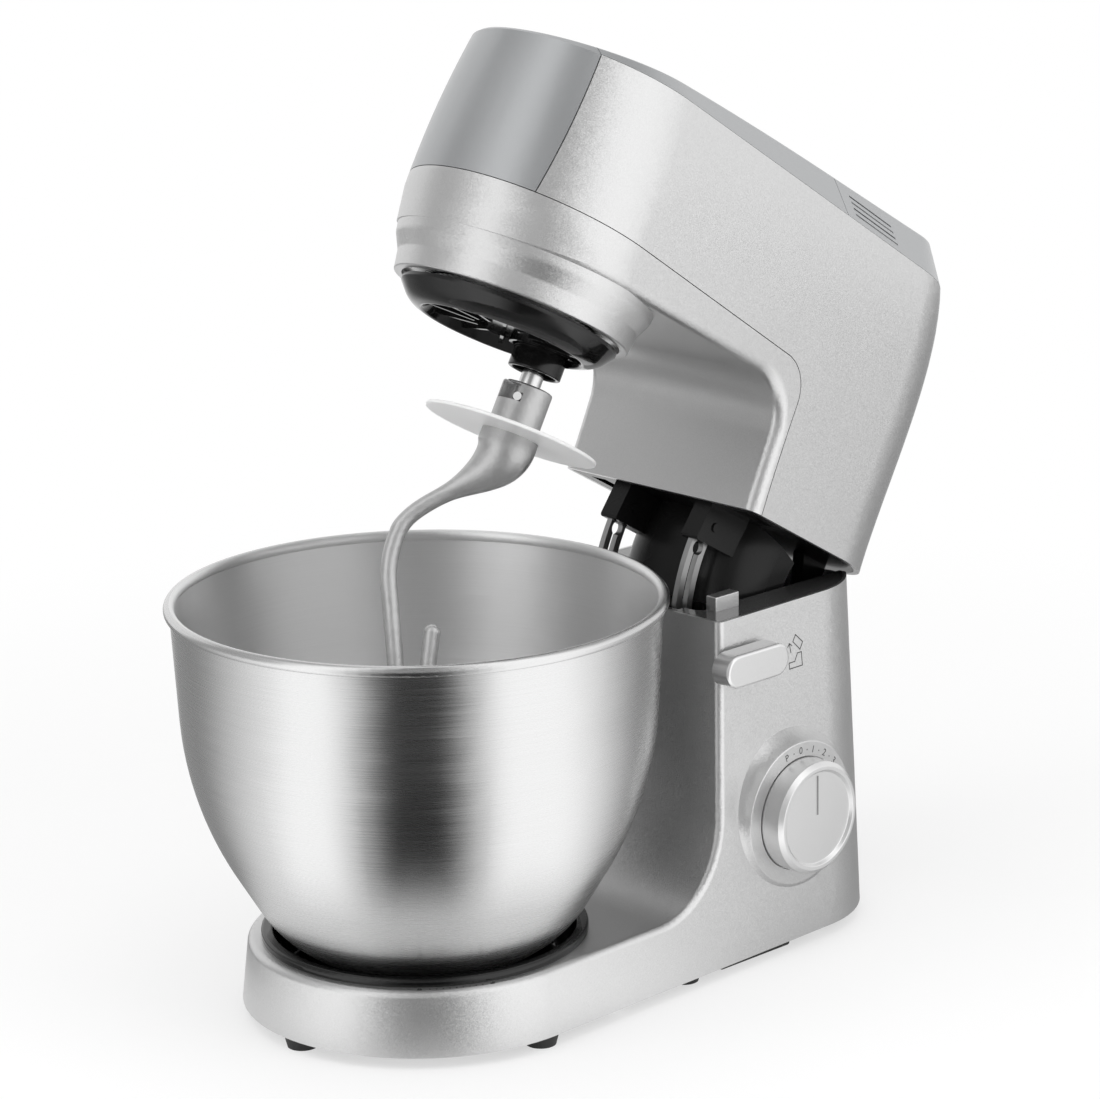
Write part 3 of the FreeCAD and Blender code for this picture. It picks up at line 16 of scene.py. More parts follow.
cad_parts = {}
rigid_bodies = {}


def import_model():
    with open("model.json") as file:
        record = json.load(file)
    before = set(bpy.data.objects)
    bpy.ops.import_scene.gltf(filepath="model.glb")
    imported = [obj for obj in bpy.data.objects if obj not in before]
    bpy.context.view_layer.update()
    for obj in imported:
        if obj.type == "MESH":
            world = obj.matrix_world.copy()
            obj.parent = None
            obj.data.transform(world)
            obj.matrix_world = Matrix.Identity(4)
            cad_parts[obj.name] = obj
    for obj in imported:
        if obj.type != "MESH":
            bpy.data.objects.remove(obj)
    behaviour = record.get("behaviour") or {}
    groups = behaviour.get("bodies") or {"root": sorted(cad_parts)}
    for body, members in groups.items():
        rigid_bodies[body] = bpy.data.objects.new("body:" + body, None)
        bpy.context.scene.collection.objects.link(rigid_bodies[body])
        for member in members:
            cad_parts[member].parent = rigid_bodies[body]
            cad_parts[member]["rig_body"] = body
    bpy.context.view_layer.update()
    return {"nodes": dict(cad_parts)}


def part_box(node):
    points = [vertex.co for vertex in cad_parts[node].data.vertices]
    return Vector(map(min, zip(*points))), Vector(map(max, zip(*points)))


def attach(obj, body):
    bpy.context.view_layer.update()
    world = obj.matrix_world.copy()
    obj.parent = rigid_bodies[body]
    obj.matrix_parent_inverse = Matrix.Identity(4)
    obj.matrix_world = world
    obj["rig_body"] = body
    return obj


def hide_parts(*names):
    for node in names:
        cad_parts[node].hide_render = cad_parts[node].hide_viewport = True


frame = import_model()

# %% [markdown]
# Effects that several finishes share are shader node groups. Each one puts out only colours, values or
# normals that change over the surface, and the shader itself stays in the material.
# Every pattern reads Object coordinates, so it holds still when a body moves.

# %% Helpers for node groups
MM = 0.001


def start_group(name, inputs, outputs):
    """A shader node group with named sockets; inputs are (type, name, value), outputs (type, name)."""
    group = bpy.data.node_groups.new(name, "ShaderNodeTree")
    for kind, label, value in inputs:
        socket = group.interface.new_socket(label, in_out="INPUT", socket_type="NodeSocket" + kind)
        socket.default_value = value
    for kind, label in outputs:
        group.interface.new_socket(label, in_out="OUTPUT", socket_type="NodeSocket" + kind)
    return group, group.nodes.new("NodeGroupInput"), group.nodes.new("NodeGroupOutput")


def feed(tree, operand, socket):
    """Links a socket, or sets a plain value."""
    if isinstance(operand, bpy.types.NodeSocket):
        tree.links.new(operand, socket)
    else:
        socket.default_value = operand


def math_node(tree, operation, first, second=0.0):
    """A math node; each operand is a socket or a plain number."""
    node = tree.nodes.new("ShaderNodeMath")
    node.operation = operation
    feed(tree, first, node.inputs[0])
    feed(tree, second, node.inputs[1])
    return node.outputs[0]


def vector_node(tree, operation, first, second=None):
    """A vector math node; each operand is a socket or a plain vector."""
    node = tree.nodes.new("ShaderNodeVectorMath")
    node.operation = operation
    feed(tree, first, node.inputs[0])
    if second is not None:
        feed(tree, second, node.inputs[1])
    return node.outputs["Value" if operation in ("LENGTH", "DOT_PRODUCT") else "Vector"]


def scaled(tree, vector, factor):
    """A vector or colour times a number."""
    node = tree.nodes.new("ShaderNodeVectorMath")
    node.operation = "SCALE"
    feed(tree, vector, node.inputs[0])
    feed(tree, factor, node.inputs["Scale"])
    return node.outputs["Vector"]


def signed(tree, value):
    """A value between 0 and 1, moved to lie round 0."""
    return math_node(tree, "SUBTRACT", value, 0.5)


def varied(tree, around, amount):
    """1 plus a signed value times an amount."""
    return math_node(tree, "ADD", math_node(tree, "MULTIPLY", around, amount), 1.0)


def object_place(tree):
    """The Object coordinates of the surface."""
    return tree.nodes.new("ShaderNodeTexCoord").outputs["Object"]


def tilted_normal(tree, lean):
    """The surface's normal, moved by a small vector."""
    surface = tree.nodes.new("ShaderNodeNewGeometry")
    return vector_node(tree, "NORMALIZE", vector_node(tree, "ADD", surface.outputs["Normal"], lean))


def shade(group, given, made, around):
    """Moves Colour and Roughness by a signed value, as strongly as the inputs Tone and Change say."""
    bright = varied(group, around, given.outputs["Tone"])
    group.links.new(scaled(group, given.outputs["Colour"], bright), made.inputs["Colour"])
    change = math_node(group, "MULTIPLY", around, given.outputs["Change"])
    group.links.new(math_node(group, "ADD", given.outputs["Roughness"], change), made.inputs["Roughness"])


# %% [markdown]
# Silver lacquer holds tiny aluminium flakes. Each flake lies at its own small angle, so the paint sparkles
# in fine grains where the light changes. Voronoi cells stand for the flakes: a random colour per cell tilts
# the normal a little and makes the grain lighter or darker.

# %% Flake group
def make_flake_group():
    """Random grains: a normal and a brightness for each flake."""
    group, given, made = start_group(
        "flakes",
        [("Color", "Colour", (0.6, 0.6, 0.6, 1)), ("Float", "Grain", 0.5 * MM), ("Float", "Tilt", 0.1),
         ("Float", "Spread", 0.1)],
        [("Color", "Colour"), ("Vector", "Normal")])
    cells = group.nodes.new("ShaderNodeTexVoronoi")
    group.links.new(object_place(group), cells.inputs["Vector"])
    group.links.new(math_node(group, "DIVIDE", 1.0, given.outputs["Grain"]), cells.inputs["Scale"])
    lean = vector_node(group, "SUBTRACT", cells.outputs["Color"], (0.5, 0.5, 0.5))
    lean = scaled(group, lean, given.outputs["Tilt"])
    group.links.new(tilted_normal(group, lean), made.inputs["Normal"])
    channels = group.nodes.new("ShaderNodeSeparateColor")
    group.links.new(cells.outputs["Color"], channels.inputs[0])
    bright = varied(group, signed(group, channels.outputs[0]), given.outputs["Spread"])
    group.links.new(scaled(group, given.outputs["Colour"], bright), made.inputs["Colour"])
    return group


flakes = make_flake_group()
print("group", flakes.name)

# %% [markdown]
# No real surface is quite even: moulding, wiping and handling leave soft patches where the gloss changes.
# A slow noise moves the roughness and the tone by a few per cent. Its height can also feed a bump.

# %% Handling group
def make_handling_group():
    """Slow, faint patches of tone and roughness."""
    group, given, made = start_group(
        "handling",
        [("Color", "Colour", (0.5, 0.5, 0.5, 1)), ("Float", "Patch", 30 * MM), ("Float", "Tone", 0.05),
         ("Float", "Roughness", 0.3), ("Float", "Change", 0.06)],
        [("Color", "Colour"), ("Float", "Roughness"), ("Float", "Height")])
    noise = group.nodes.new("ShaderNodeTexNoise")
    noise.inputs["Detail"].default_value = 4
    group.links.new(object_place(group), noise.inputs["Vector"])
    group.links.new(math_node(group, "DIVIDE", 1.0, given.outputs["Patch"]), noise.inputs["Scale"])
    shade(group, given, made, signed(group, noise.outputs[0]))
    group.links.new(noise.outputs[0], made.inputs["Height"])
    return group


handling = make_handling_group()
print("group", handling.name)

# %% [markdown]
# Spun steel is ground on a lathe, so its fine scratches run round the axis. The noise here reads the turn
# about the axis slowly and the way along the wall quickly, so each scratch is a long thin arc. It changes
# the tone and the roughness, and it turns the normal a little sideways: that frays the edges of the
# bright bands, as on brushed metal.

# %% Brushing group
def make_brushing_group():
    """Long thin scratches about a vertical axis."""
    group, given, made = start_group(
        "brushing",
        [("Color", "Colour", (0.6, 0.6, 0.6, 1)), ("Vector", "Axis", (0, 0, 0)), ("Float", "Line", 0.4 * MM),
         ("Float", "Turns", 3.0), ("Float", "Tone", 0.1), ("Float", "Sway", 0.1), ("Float", "Roughness", 0.3),
         ("Float", "Change", 0.1)],
        [("Color", "Colour"), ("Float", "Roughness"), ("Vector", "Normal")])
    centred = vector_node(group, "SUBTRACT", object_place(group), given.outputs["Axis"])
    flat = vector_node(group, "MULTIPLY", centred, (1, 1, 0))
    radius = vector_node(group, "LENGTH", flat)
    turn = vector_node(group, "NORMALIZE", flat)
    parts = group.nodes.new("ShaderNodeSeparateXYZ")
    group.links.new(centred, parts.inputs[0])
    way = math_node(group, "ADD", parts.outputs[2], radius)
    upward = group.nodes.new("ShaderNodeCombineXYZ")
    group.links.new(math_node(group, "DIVIDE", way, given.outputs["Line"]), upward.inputs[2])
    spot = vector_node(group, "ADD", scaled(group, turn, given.outputs["Turns"]), upward.outputs[0])
    noise = group.nodes.new("ShaderNodeTexNoise")
    noise.inputs["Detail"].default_value = 3
    noise.inputs["Scale"].default_value = 1
    group.links.new(spot, noise.inputs["Vector"])
    around = signed(group, noise.outputs[0])
    shade(group, given, made, around)
    sideways = vector_node(group, "CROSS_PRODUCT", (0, 0, 1), turn)
    sway = scaled(group, sideways, math_node(group, "MULTIPLY", around, given.outputs["Sway"]))
    group.links.new(tilted_normal(group, sway), made.inputs["Normal"])
    return group


brushing = make_brushing_group()
print("group", brushing.name)

# %% [markdown]
# A finish is a Principled shader fed by one or two of these groups. What is the same all over the surface,
# such as metal or clear coat, is set on the shader's own sockets.

# %% Finish helpers
def start_finish(name, constants):
    """A new material and its shader with the constant sockets set."""
    material = bpy.data.materials.new(name)
    material.use_nodes = True
    shader = material.node_tree.nodes["Principled BSDF"]
    for socket, value in constants.items():
        shader.inputs[socket].default_value = value
    return material, shader


def add_group(material, group, values):
    """Places a group in a material with its own input values."""
    node = material.node_tree.nodes.new("ShaderNodeGroup")
    node.node_tree = group
    for label, value in values.items():
        node.inputs[label].default_value = value
    return node


def connect(material, source, target, pairs):
    """Links outputs of one node to inputs of another, by name."""
    for output, socket in pairs.items():
        material.node_tree.links.new(source.outputs[output], target.inputs[socket])


def grey(level, warmth=0.0):
    """A near neutral colour; warmth above 0 leans to yellow and below 0 to blue."""
    return (level * (1 + warmth), level, level * (1 - warmth), 1)


def lacquer(name, colour, roughness, grain, tilt, spread, metallic, coat):
    """Metallic paint: flakes under a clear coat."""
    material, shader = start_finish(
        name, {"Metallic": metallic, "Coat Weight": coat, "Coat Roughness": 0.12})
    wipe = add_group(
        material, handling, {"Colour": colour, "Roughness": roughness, "Tone": 0.03, "Change": 0.05})
    grains = add_group(material, flakes, {"Grain": grain, "Tilt": tilt, "Spread": spread})
    connect(material, wipe, grains, {"Colour": "Colour"})
    connect(material, wipe, shader, {"Roughness": "Roughness"})
    connect(material, grains, shader, {"Colour": "Base Color", "Normal": "Normal"})
    return material


def moulded(name, colour, roughness, constants, patch=25 * MM, tone=0.12, change=0.08, relief=0.0):
    """A moulded or cast surface with faint handling patches; a rough one also has a relief in metres."""
    material, shader = start_finish(name, constants)
    wipe = add_group(material, handling, {"Colour": colour, "Roughness": roughness, "Patch": patch,
                                          "Tone": tone, "Change": change})
    connect(material, wipe, shader, {"Colour": "Base Color", "Roughness": "Roughness"})
    if relief:
        bump = material.node_tree.nodes.new("ShaderNodeBump")
        bump.inputs["Distance"].default_value = relief
        connect(material, wipe, bump, {"Height": "Height"})
        connect(material, bump, shader, {"Normal": "Normal"})
    return material


# %% [markdown]
# The paint of the stand and the head is a light silver with a visible grain. The front cap, the top strip
# and the rear cover are a darker, finer grey of the same kind, and the dial is a smoother silver.

# %% Painted finishes
silver = lacquer("silver_flake", grey(0.60), roughness=0.36, grain=0.36 * MM, tilt=0.13, spread=0.06,
                 metallic=0.92, coat=0.08)
dial_silver = lacquer("dial_silver", grey(0.72), roughness=0.33, grain=0.2 * MM, tilt=0.04, spread=0.03,
                      metallic=0.92, coat=0.08)
cap_grey = lacquer("cap_grey", grey(0.35, -0.02), roughness=0.30, grain=0.2 * MM, tilt=0.03, spread=0.03,
                   metallic=0.6, coat=0.12)
print("painted:", silver.name, dial_silver.name, cap_grey.name)

# %% [markdown]
# Black plastic comes in three kinds here: polished for the hub dish, the bell and the bowl seat, a lighter
# gloss for the deck on the column, and satin for the neck and the small mouldings. The splash disc is milky
# and lets a little light through.

# %% Plastic finishes
black_gloss = moulded("black_gloss", grey(0.007), 0.10, {"Specular IOR Level": 0.4})
deck_gloss = moulded("deck_gloss", grey(0.05), 0.14, {"Coat Weight": 0.4, "Coat Roughness": 0.05})
satin_black = moulded("black_plastic", grey(0.009), 0.26, {"Specular IOR Level": 0.22})
milky = moulded("milky_plastic", grey(0.92), 0.38, {"Subsurface Weight": 0.6, "Subsurface Scale": 4 * MM,
                                                    "Subsurface Radius": (1, 1, 1)}, tone=0.03)
pointer_grey = moulded("pointer_grey", grey(0.3), 0.4, {"Metallic": 0.6})
rubber = moulded("rubber", grey(0.018), 0.7, {}, tone=0.2)
print("plastics made")

# %% [markdown]
# Four metals are open to view: brushed steel for the bowl, bright steel for shafts, grey steel for the tilt
# arms and cast aluminium for the hook, whose skin is a little uneven.

# %% Metal finishes
bowl_low, bowl_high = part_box("mixing_bowl")
bowl_axis = ((bowl_low + bowl_high) / 2).xy.to_3d()


def brushed(name, colour, roughness, anisotropy, values):
    """Steel brushed round the bowl's axis; its highlights stretch across the scratches."""
    material, shader = start_finish(
        name, {"Metallic": 1.0, "Anisotropic": anisotropy, "Anisotropic Rotation": 0.25})
    lines = add_group(material, brushing, dict(values, Colour=colour, Axis=bowl_axis, Roughness=roughness))
    tangent = material.node_tree.nodes.new("ShaderNodeTangent")
    tangent.direction_type = "RADIAL"
    tangent.axis = "Z"
    connect(material, lines, shader, {"Colour": "Base Color", "Roughness": "Roughness", "Normal": "Normal"})
    connect(material, tangent, shader, {"Tangent": "Tangent"})
    return material


bowl_steel = brushed("bowl_steel", grey(0.60), roughness=0.27, anisotropy=0.75, values={
    "Line": 0.4 * MM, "Turns": 2.2, "Tone": 0.10, "Sway": 0.09, "Change": 0.1})
# The inside's lighter steel colour is painted light, the same steel made brighter; its deeper brushing is
# real.
bowl_inside_painted_light = brushed("bowl_inside_painted_light", grey(0.80), roughness=0.42, anisotropy=0.93, values={
    "Line": 0.5 * MM, "Turns": 2.5, "Tone": 0.08, "Sway": 0.08, "Change": 0.1})
bright_steel = moulded("bright_steel", grey(0.62), 0.18, {"Metallic": 1.0})
arm_steel = moulded("arm_steel", grey(0.42), 0.33, {"Metallic": 1.0})
cast_alloy = moulded("cast_alloy", grey(0.50), 0.42, {"Metallic": 0.8}, patch=4 * MM, tone=0.3, change=0.25,
                     relief=0.3 * MM)
print("metals made; bowl axis", [round(v, 4) for v in bowl_axis])

# %% [markdown]
# The frame's meshes are loose triangles. A copy whose doubles are merged can be shaded smooth across its
# curves and stay crisp at its edges, and then stands for the node. Normals weighted by the area of the faces
# keep a flat wall flat beside a small rounding. The bowl, the dish and the bell are turned shapes with coarse
# roundings, so their creases start at a larger angle.

# %% Skin helpers
CREASE = 28
SOFT_CREASE = {"mixing_bowl": 56, "planet_cover": 48, "bell_collar": 48}
MERGE = 0.002 * MM


def baked(carrier):
    """A plain mesh of an object with its modifiers; the object itself is removed."""
    bpy.context.scene.collection.objects.link(carrier)
    bpy.context.view_layer.update()
    mesh = bpy.data.meshes.new_from_object(carrier.evaluated_get(bpy.context.evaluated_depsgraph_get()))
    bpy.data.objects.remove(carrier)
    return mesh


def smooth_copy(node):
    """A merged copy of a node's mesh, smooth over curves and sharp at creases."""
    mesh = frame["nodes"][node].data.copy()
    work = bmesh.new()
    work.from_mesh(mesh)
    bmesh.ops.remove_doubles(work, verts=work.verts, dist=MERGE)
    bmesh.ops.dissolve_degenerate(work, edges=work.edges, dist=MERGE)
    for face in work.faces:
        face.smooth = True
    work.to_mesh(mesh)
    work.free()
    if mesh.has_custom_normals:
        mesh.attributes.remove(mesh.attributes["custom_normal"])
    mesh.set_sharp_from_angle(angle=math.radians(SOFT_CREASE.get(node, CREASE)))
    carrier = bpy.data.objects.new("carrier", mesh)
    carrier.modifiers.new("even", "WEIGHTED_NORMAL").keep_sharp = True
    even = baked(carrier)
    even.name = node + "_skin"
    return even


# %% [markdown]
# Every piece that can be seen gets such a skin with its finish, on the body that the node moves with.

# %% Dress the nodes
def dress(node, material):
    """Puts a smooth skin with this finish in the node's place, on the node's body."""
    mesh = smooth_copy(node)
    mesh.materials.clear()
    mesh.materials.append(material)
    skin = bpy.data.objects.new(node + "_skin", mesh)
    bpy.context.scene.collection.objects.link(skin)
    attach(skin, frame["nodes"][node]["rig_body"])
    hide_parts(node)
    return skin


DRESSES = {
    silver: ["stand_housing", "head_upper_shell", "head_lower_shell", "deck_blocks"],
    dial_silver: ["release_lever", "speed_knob"],
    cap_grey: ["front_cap", "top_cover", "rear_cover"],
    deck_gloss: ["column_deck"],
    black_gloss: ["planet_cover", "bell_collar", "bowl_seat"],
    satin_black: ["neck_cover", "bowl_foot", "cord_gland", "bottom_plate", "arm_rivets"],
    pointer_grey: ["knob_pointer"],
    bowl_steel: ["mixing_bowl"],
    bright_steel: ["tool_shaft", "drive_pin", "hinge_pin"],
    arm_steel: ["tilt_arm_left", "tilt_arm_right"],
    cast_alloy: ["dough_hook"],
    milky: ["splash_disc"],
    rubber: ["rubber_feet"],
}
skins = {node: dress(node, material) for material, nodes in DRESSES.items() for node in nodes}
print("dressed", len(skins), "nodes; weighted normals:", skins["mixing_bowl"].data.has_custom_normals)

# %% [markdown]
# The inside of the bowl is brushed more deeply than the outside, so its highlights run farther up and down
# the wall. Its steel is also a lighter colour than the outside's, which is painted light: the same steel made
# brighter inside. A face is on the inside when its normal points to the bowl's axis, or up from well below
# the rim.

# %% Brush the inside of the bowl and paint it lighter
RIM_DEPTH = 8 * MM
UPWARD = 0.3


def brush_inside(mesh):
    """Gives the faces on the inside the second material, more deeply brushed and painted lighter; returns
    their number.
    """
    mesh.materials.append(bowl_inside_painted_light)
    count = 0
    for polygon in mesh.polygons:
        outward = (polygon.center - bowl_axis).xy.dot(polygon.normal.xy)
        upward = polygon.normal.z > UPWARD and polygon.center.z < bowl_high.z - RIM_DEPTH
        if outward < 0 or upward:
            polygon.material_index = 1
            count += 1
    return count


print("faces inside the bowl:", brush_inside(skins["mixing_bowl"].data))

# %% [markdown]
# What is shut inside keeps its own mesh and has one plain finish, bright steel.

# %% Finish the inner pieces
inner = [piece for node, piece in frame["nodes"].items() if node not in skins]
for piece in inner:
    piece.data.materials.clear()
    piece.data.materials.append(bright_steel)
print("inner pieces:", len(inner))

# %% [markdown]
# Print is a film of ink on the stand. Each sign is a flat mesh that lies a hair off the surface; a ray finds
# the place on the stand's own skin. Signs of one kind are joined to one piece, which rides on the stand.

# %% Print helpers
MARK_LIFT = 0.04 * MM
RAY_ROOM = 100 * MM
INWARD = Vector((-1, 0, 0))
DOWN = Vector((0, 0, -1))
ink = moulded("ink", grey(0.05), 0.45, {})
knob_low, knob_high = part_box("speed_knob")
RAY_X = knob_high.x + RAY_ROOM
stand_mesh = skins["stand_housing"].data
stand_tree = BVHTree.FromPolygons(
    [v.co for v in stand_mesh.vertices], [p.vertices for p in stand_mesh.polygons])


def on_stand(start, direction):
    """The point where a ray meets the stand, lifted by the ink's film."""
    return stand_tree.ray_cast(start, direction)[0] - direction * MARK_LIFT


def axes_at(point, across, up, off):
    """The matrix that lays a flat drawing at a point, with its own X, Y and Z along these vectors."""
    return Matrix.Translation(point) @ Matrix((across, up, off)).transposed().to_4x4()


def gather(name, meshes, material, body):
    """One piece from several placed meshes, riding on a body."""
    work = bmesh.new()
    for mesh in meshes:
        work.from_mesh(mesh)
        bpy.data.meshes.remove(mesh)
    joined = bpy.data.meshes.new(name)
    work.to_mesh(joined)
    work.free()
    joined.materials.clear()
    joined.materials.append(material)
    piece = bpy.data.objects.new(name, joined)
    bpy.context.scene.collection.objects.link(piece)
    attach(piece, body)
    return piece


# %% [markdown]
# The ring round the dial is printed with a P for the pulse and the speeds from 0 up, with a dot between each
# two. The letters are text made into flat meshes, and each one is turned about the dial's axis.

# %% Dial letters
DIAL_Y, DIAL_Z = (knob_low.y + knob_high.y) / 2, (knob_low.z + knob_high.z) / 2
MARK_R = 30.9 * MM
MARK_HEIGHT = 3.4 * MM
MARK_STEP = 16.0
PULSE_TURN = -18.0
TOP_SPEED = 6
CAPITAL_SHARE = 0.7


def ring_place(turn):
    """The axes of a mark on the ring: across, outward and off the ring, turned clockwise from the top."""
    a = math.radians(turn)
    outward = Vector((0, math.sin(a), math.cos(a)))
    across = Vector((0, math.cos(a), -math.sin(a)))
    start = Vector((RAY_X, DIAL_Y, DIAL_Z)) + outward * MARK_R
    return axes_at(on_stand(start, INWARD), across, outward, -INWARD)


def letter_mesh(text, height):
    """A flat mesh of one letter, centred, with capitals of this height."""
    curve = bpy.data.curves.new("letter_" + text, "FONT")
    curve.body = text
    curve.align_x, curve.align_y = "CENTER", "CENTER"
    curve.size = height / CAPITAL_SHARE
    return baked(bpy.data.objects.new("letter", curve))


marks = [("P", PULSE_TURN)] + [(str(i), MARK_STEP * i) for i in range(TOP_SPEED + 1)]
letters = []
for text, turn in marks:
    mesh = letter_mesh(text, MARK_HEIGHT)
    mesh.transform(ring_place(turn))
    letters.append(mesh)
dial_letters = gather("dial_letters", letters, ink, "stand")
print("dial letters:", len(dial_letters.data.polygons), "faces")

# %% [markdown]
# Dots on the dial, arrowheads on the base and slats in the vents are each one small shape that repeats, so
# Geometry Nodes trees make them. Each tree puts a shape on points, makes the copies real and gives them
# a finish. The result is then turned into a plain mesh.

# %% Tree helpers
def start_tree(name, inputs):
    """A tree with these inputs as (type, name) and a finish, and with a geometry to put out."""
    tree = bpy.data.node_groups.new(name, "GeometryNodeTree")
    tree.interface.new_socket("Geometry", in_out="OUTPUT", socket_type="NodeSocketGeometry")
    for kind, label in inputs + [("Material", "Finish")]:
        tree.interface.new_socket(label, in_out="INPUT", socket_type="NodeSocket" + kind)
    return tree, tree.nodes.new("NodeGroupInput")


def end_tree(tree, given, points, shape):
    """Puts the shape on the points as real, finished copies; returns the node that places them."""
    place = tree.nodes.new("GeometryNodeInstanceOnPoints")
    real = tree.nodes.new("GeometryNodeRealizeInstances")
    paint = tree.nodes.new("GeometryNodeSetMaterial")
    made = tree.nodes.new("NodeGroupOutput")
    tree.links.new(points.outputs[0], place.inputs["Points"])
    tree.links.new(shape.outputs[0], place.inputs["Instance"])
    tree.links.new(place.outputs[0], real.inputs[0])
    tree.links.new(real.outputs[0], paint.inputs["Geometry"])
    tree.links.new(given.outputs["Finish"], paint.inputs["Material"])
    tree.links.new(paint.outputs[0], made.inputs[0])
    return place


def tree_mesh(tree, values):
    """A plain mesh of what a tree makes with these input values."""
    carrier = bpy.data.objects.new(tree.name, bpy.data.meshes.new(tree.name))
    modifier = carrier.modifiers.new(tree.name, "NODES")
    modifier.node_group = tree
    for item in tree.interface.items_tree:
        if item.in_out == "INPUT":
            modifier[item.identifier] = values[item.name]
    return baked(carrier)


# %% [markdown]
# The dots and the arrowheads stand along an arc. The tree turns an index into an angle, sets a point on the
# arc there, and turns a flat polygon on it so that one corner points outwards.

# %% Arc of marks
def make_arc_tree():
    """A tree for small flat polygons along an arc, clockwise from local +Y."""
    tree, given = start_tree("arc_of_marks", [
        ("Int", "Count"), ("Int", "Sides"), ("Float", "Radius"), ("Float", "Size"), ("Float", "First Turn"),
        ("Float", "Turn Step")])
    points = tree.nodes.new("GeometryNodePoints")
    tree.links.new(given.outputs["Count"], points.inputs["Count"])
    index = tree.nodes.new("GeometryNodeInputIndex")
    turn = math_node(tree, "MULTIPLY", index.outputs[0], given.outputs["Turn Step"])
    turn = math_node(tree, "RADIANS", math_node(tree, "ADD", turn, given.outputs["First Turn"]))
    spot = tree.nodes.new("ShaderNodeCombineXYZ")
    tree.links.new(math_node(tree, "SINE", turn), spot.inputs[0])
    tree.links.new(math_node(tree, "COSINE", turn), spot.inputs[1])
    tree.links.new(scaled(tree, spot.outputs[0], given.outputs["Radius"]), points.inputs["Position"])
    shape = tree.nodes.new("GeometryNodeMeshCircle")
    shape.fill_type = "NGON"
    tree.links.new(given.outputs["Sides"], shape.inputs["Vertices"])
    tree.links.new(given.outputs["Size"], shape.inputs["Radius"])
    lean = tree.nodes.new("ShaderNodeCombineXYZ")
    tree.links.new(math_node(tree, "SUBTRACT", math.pi / 2, turn), lean.inputs[2])
    place = end_tree(tree, given, points, shape)
    tree.links.new(lean.outputs[0], place.inputs["Rotation"])
    return tree


arc_tree = make_arc_tree()
print("tree", arc_tree.name)

# %% [markdown]
# On the dial's ring one dot stands between the P and the 0, and one between each two speeds.

# %% Dial dots
DOT_SIDES = 10
DOT_SIZE = 0.35 * MM


def dots(count, first, step):
    """Dots on the dial's ring."""
    return tree_mesh(arc_tree, {"Count": count, "Sides": DOT_SIDES, "Radius": MARK_R, "Size": DOT_SIZE,
                                "First Turn": first, "Turn Step": step, "Finish": ink})


ring_middle = (ring_place(0).translation.x, DIAL_Y, DIAL_Z)
ring_frame = axes_at(ring_middle, Vector((0, 1, 0)), Vector((0, 0, 1)), Vector((1, 0, 0)))
dot_meshes = [dots(1, PULSE_TURN / 2, 0.0), dots(TOP_SPEED, MARK_STEP / 2, MARK_STEP)]
for mesh in dot_meshes:
    mesh.transform(ring_frame)
dial_dots = gather("dial_dots", dot_meshes, ink, "stand")
print("dial dots:", len(dial_dots.data.polygons))

# %% [markdown]
# In front of the bowl a row of arrowheads shows how far the bowl turns in its seat. It ends in two plain
# padlock signs, one shut and one open. These are drawn as flat polygons, a square body under a bow, and all
# of it is laid on the top of the base.

# %% Lock scale
SCALE_R = 78.4 * MM
SCALE_TURN = 57.8
SCALE_COUNT = 9
SCALE_STEP = 2.2
ARROW_SIZE = 0.62 * MM
SIGN_TURN = 12.2
SIGN_SIZE = 1.05 * MM
BODY_TOP = 0.4
BOW_RADII = (0.75, 0.45)
BOW_STRETCH = 1.3
BOW_STEPS = 8
OPEN_SHIFT = 0.9


def padlock(shift):
    """A flat padlock of half width 1 times the sign's size; the bow is moved sideways when open."""
    points = [(-1, -1), (1, -1), (1, BODY_TOP), (-1, BODY_TOP)]
    first = len(points)
    for i in range(BOW_STEPS + 1):
        a = math.pi * i / BOW_STEPS
        points += [(r * math.cos(a) + shift, BODY_TOP + r * BOW_STRETCH * math.sin(a)) for r in BOW_RADII]
    starts = [first + 2 * i for i in range(BOW_STEPS)]
    faces = [(0, 1, 2, 3)] + [(s, s + 2, s + 3, s + 1) for s in starts]
    mesh = bpy.data.meshes.new("padlock")
    mesh.from_pydata([(x * SIGN_SIZE, y * SIGN_SIZE, 0) for x, y in points], [], faces)
    return mesh


def from_side(azimuth, elevation=0.0):
    """The unit vector at this turn from the front, towards the dial side, and this height, in degrees."""
    a, e = math.radians(azimuth), math.radians(elevation)
    return Vector((math.sin(a) * math.cos(e), -math.cos(a) * math.cos(e), math.sin(e)))


def deck_place(turn):
    """The axes of a sign on the base, upright when read from outside."""
    out, across = from_side(turn), from_side(turn + 90)
    start = bowl_axis + out * SCALE_R + Vector((0, 0, bowl_high.z))
    return axes_at(on_stand(start, DOWN), across, -out, -DOWN)


deck_height = deck_place(SCALE_TURN).translation.z
arrows = tree_mesh(arc_tree, {
    "Count": SCALE_COUNT, "Sides": 3, "Radius": SCALE_R, "Size": ARROW_SIZE,
    "First Turn": -SCALE_TURN - SCALE_STEP * (SCALE_COUNT - 1) / 2, "Turn Step": SCALE_STEP, "Finish": ink})
half_turn = Matrix.Rotation(math.pi, 4, "Z")
arrows.transform(Matrix.Translation((bowl_axis.x, bowl_axis.y, deck_height)) @ half_turn)
shut, opened = padlock(0.0), padlock(OPEN_SHIFT)
shut.transform(deck_place(SCALE_TURN - SIGN_TURN))
opened.transform(deck_place(SCALE_TURN + SIGN_TURN))
lock_scale = gather("lock_scale", [arrows, shut, opened], ink, "stand")
print("lock scale on the base at", round(deck_height / MM, 2), "mm")

# %% [markdown]
# A small line drawing beside the release lever shows a mixer with its head raised and an arrow. Each stroke
# is a thin flat strip; a ray carries every corner to the side of the column.

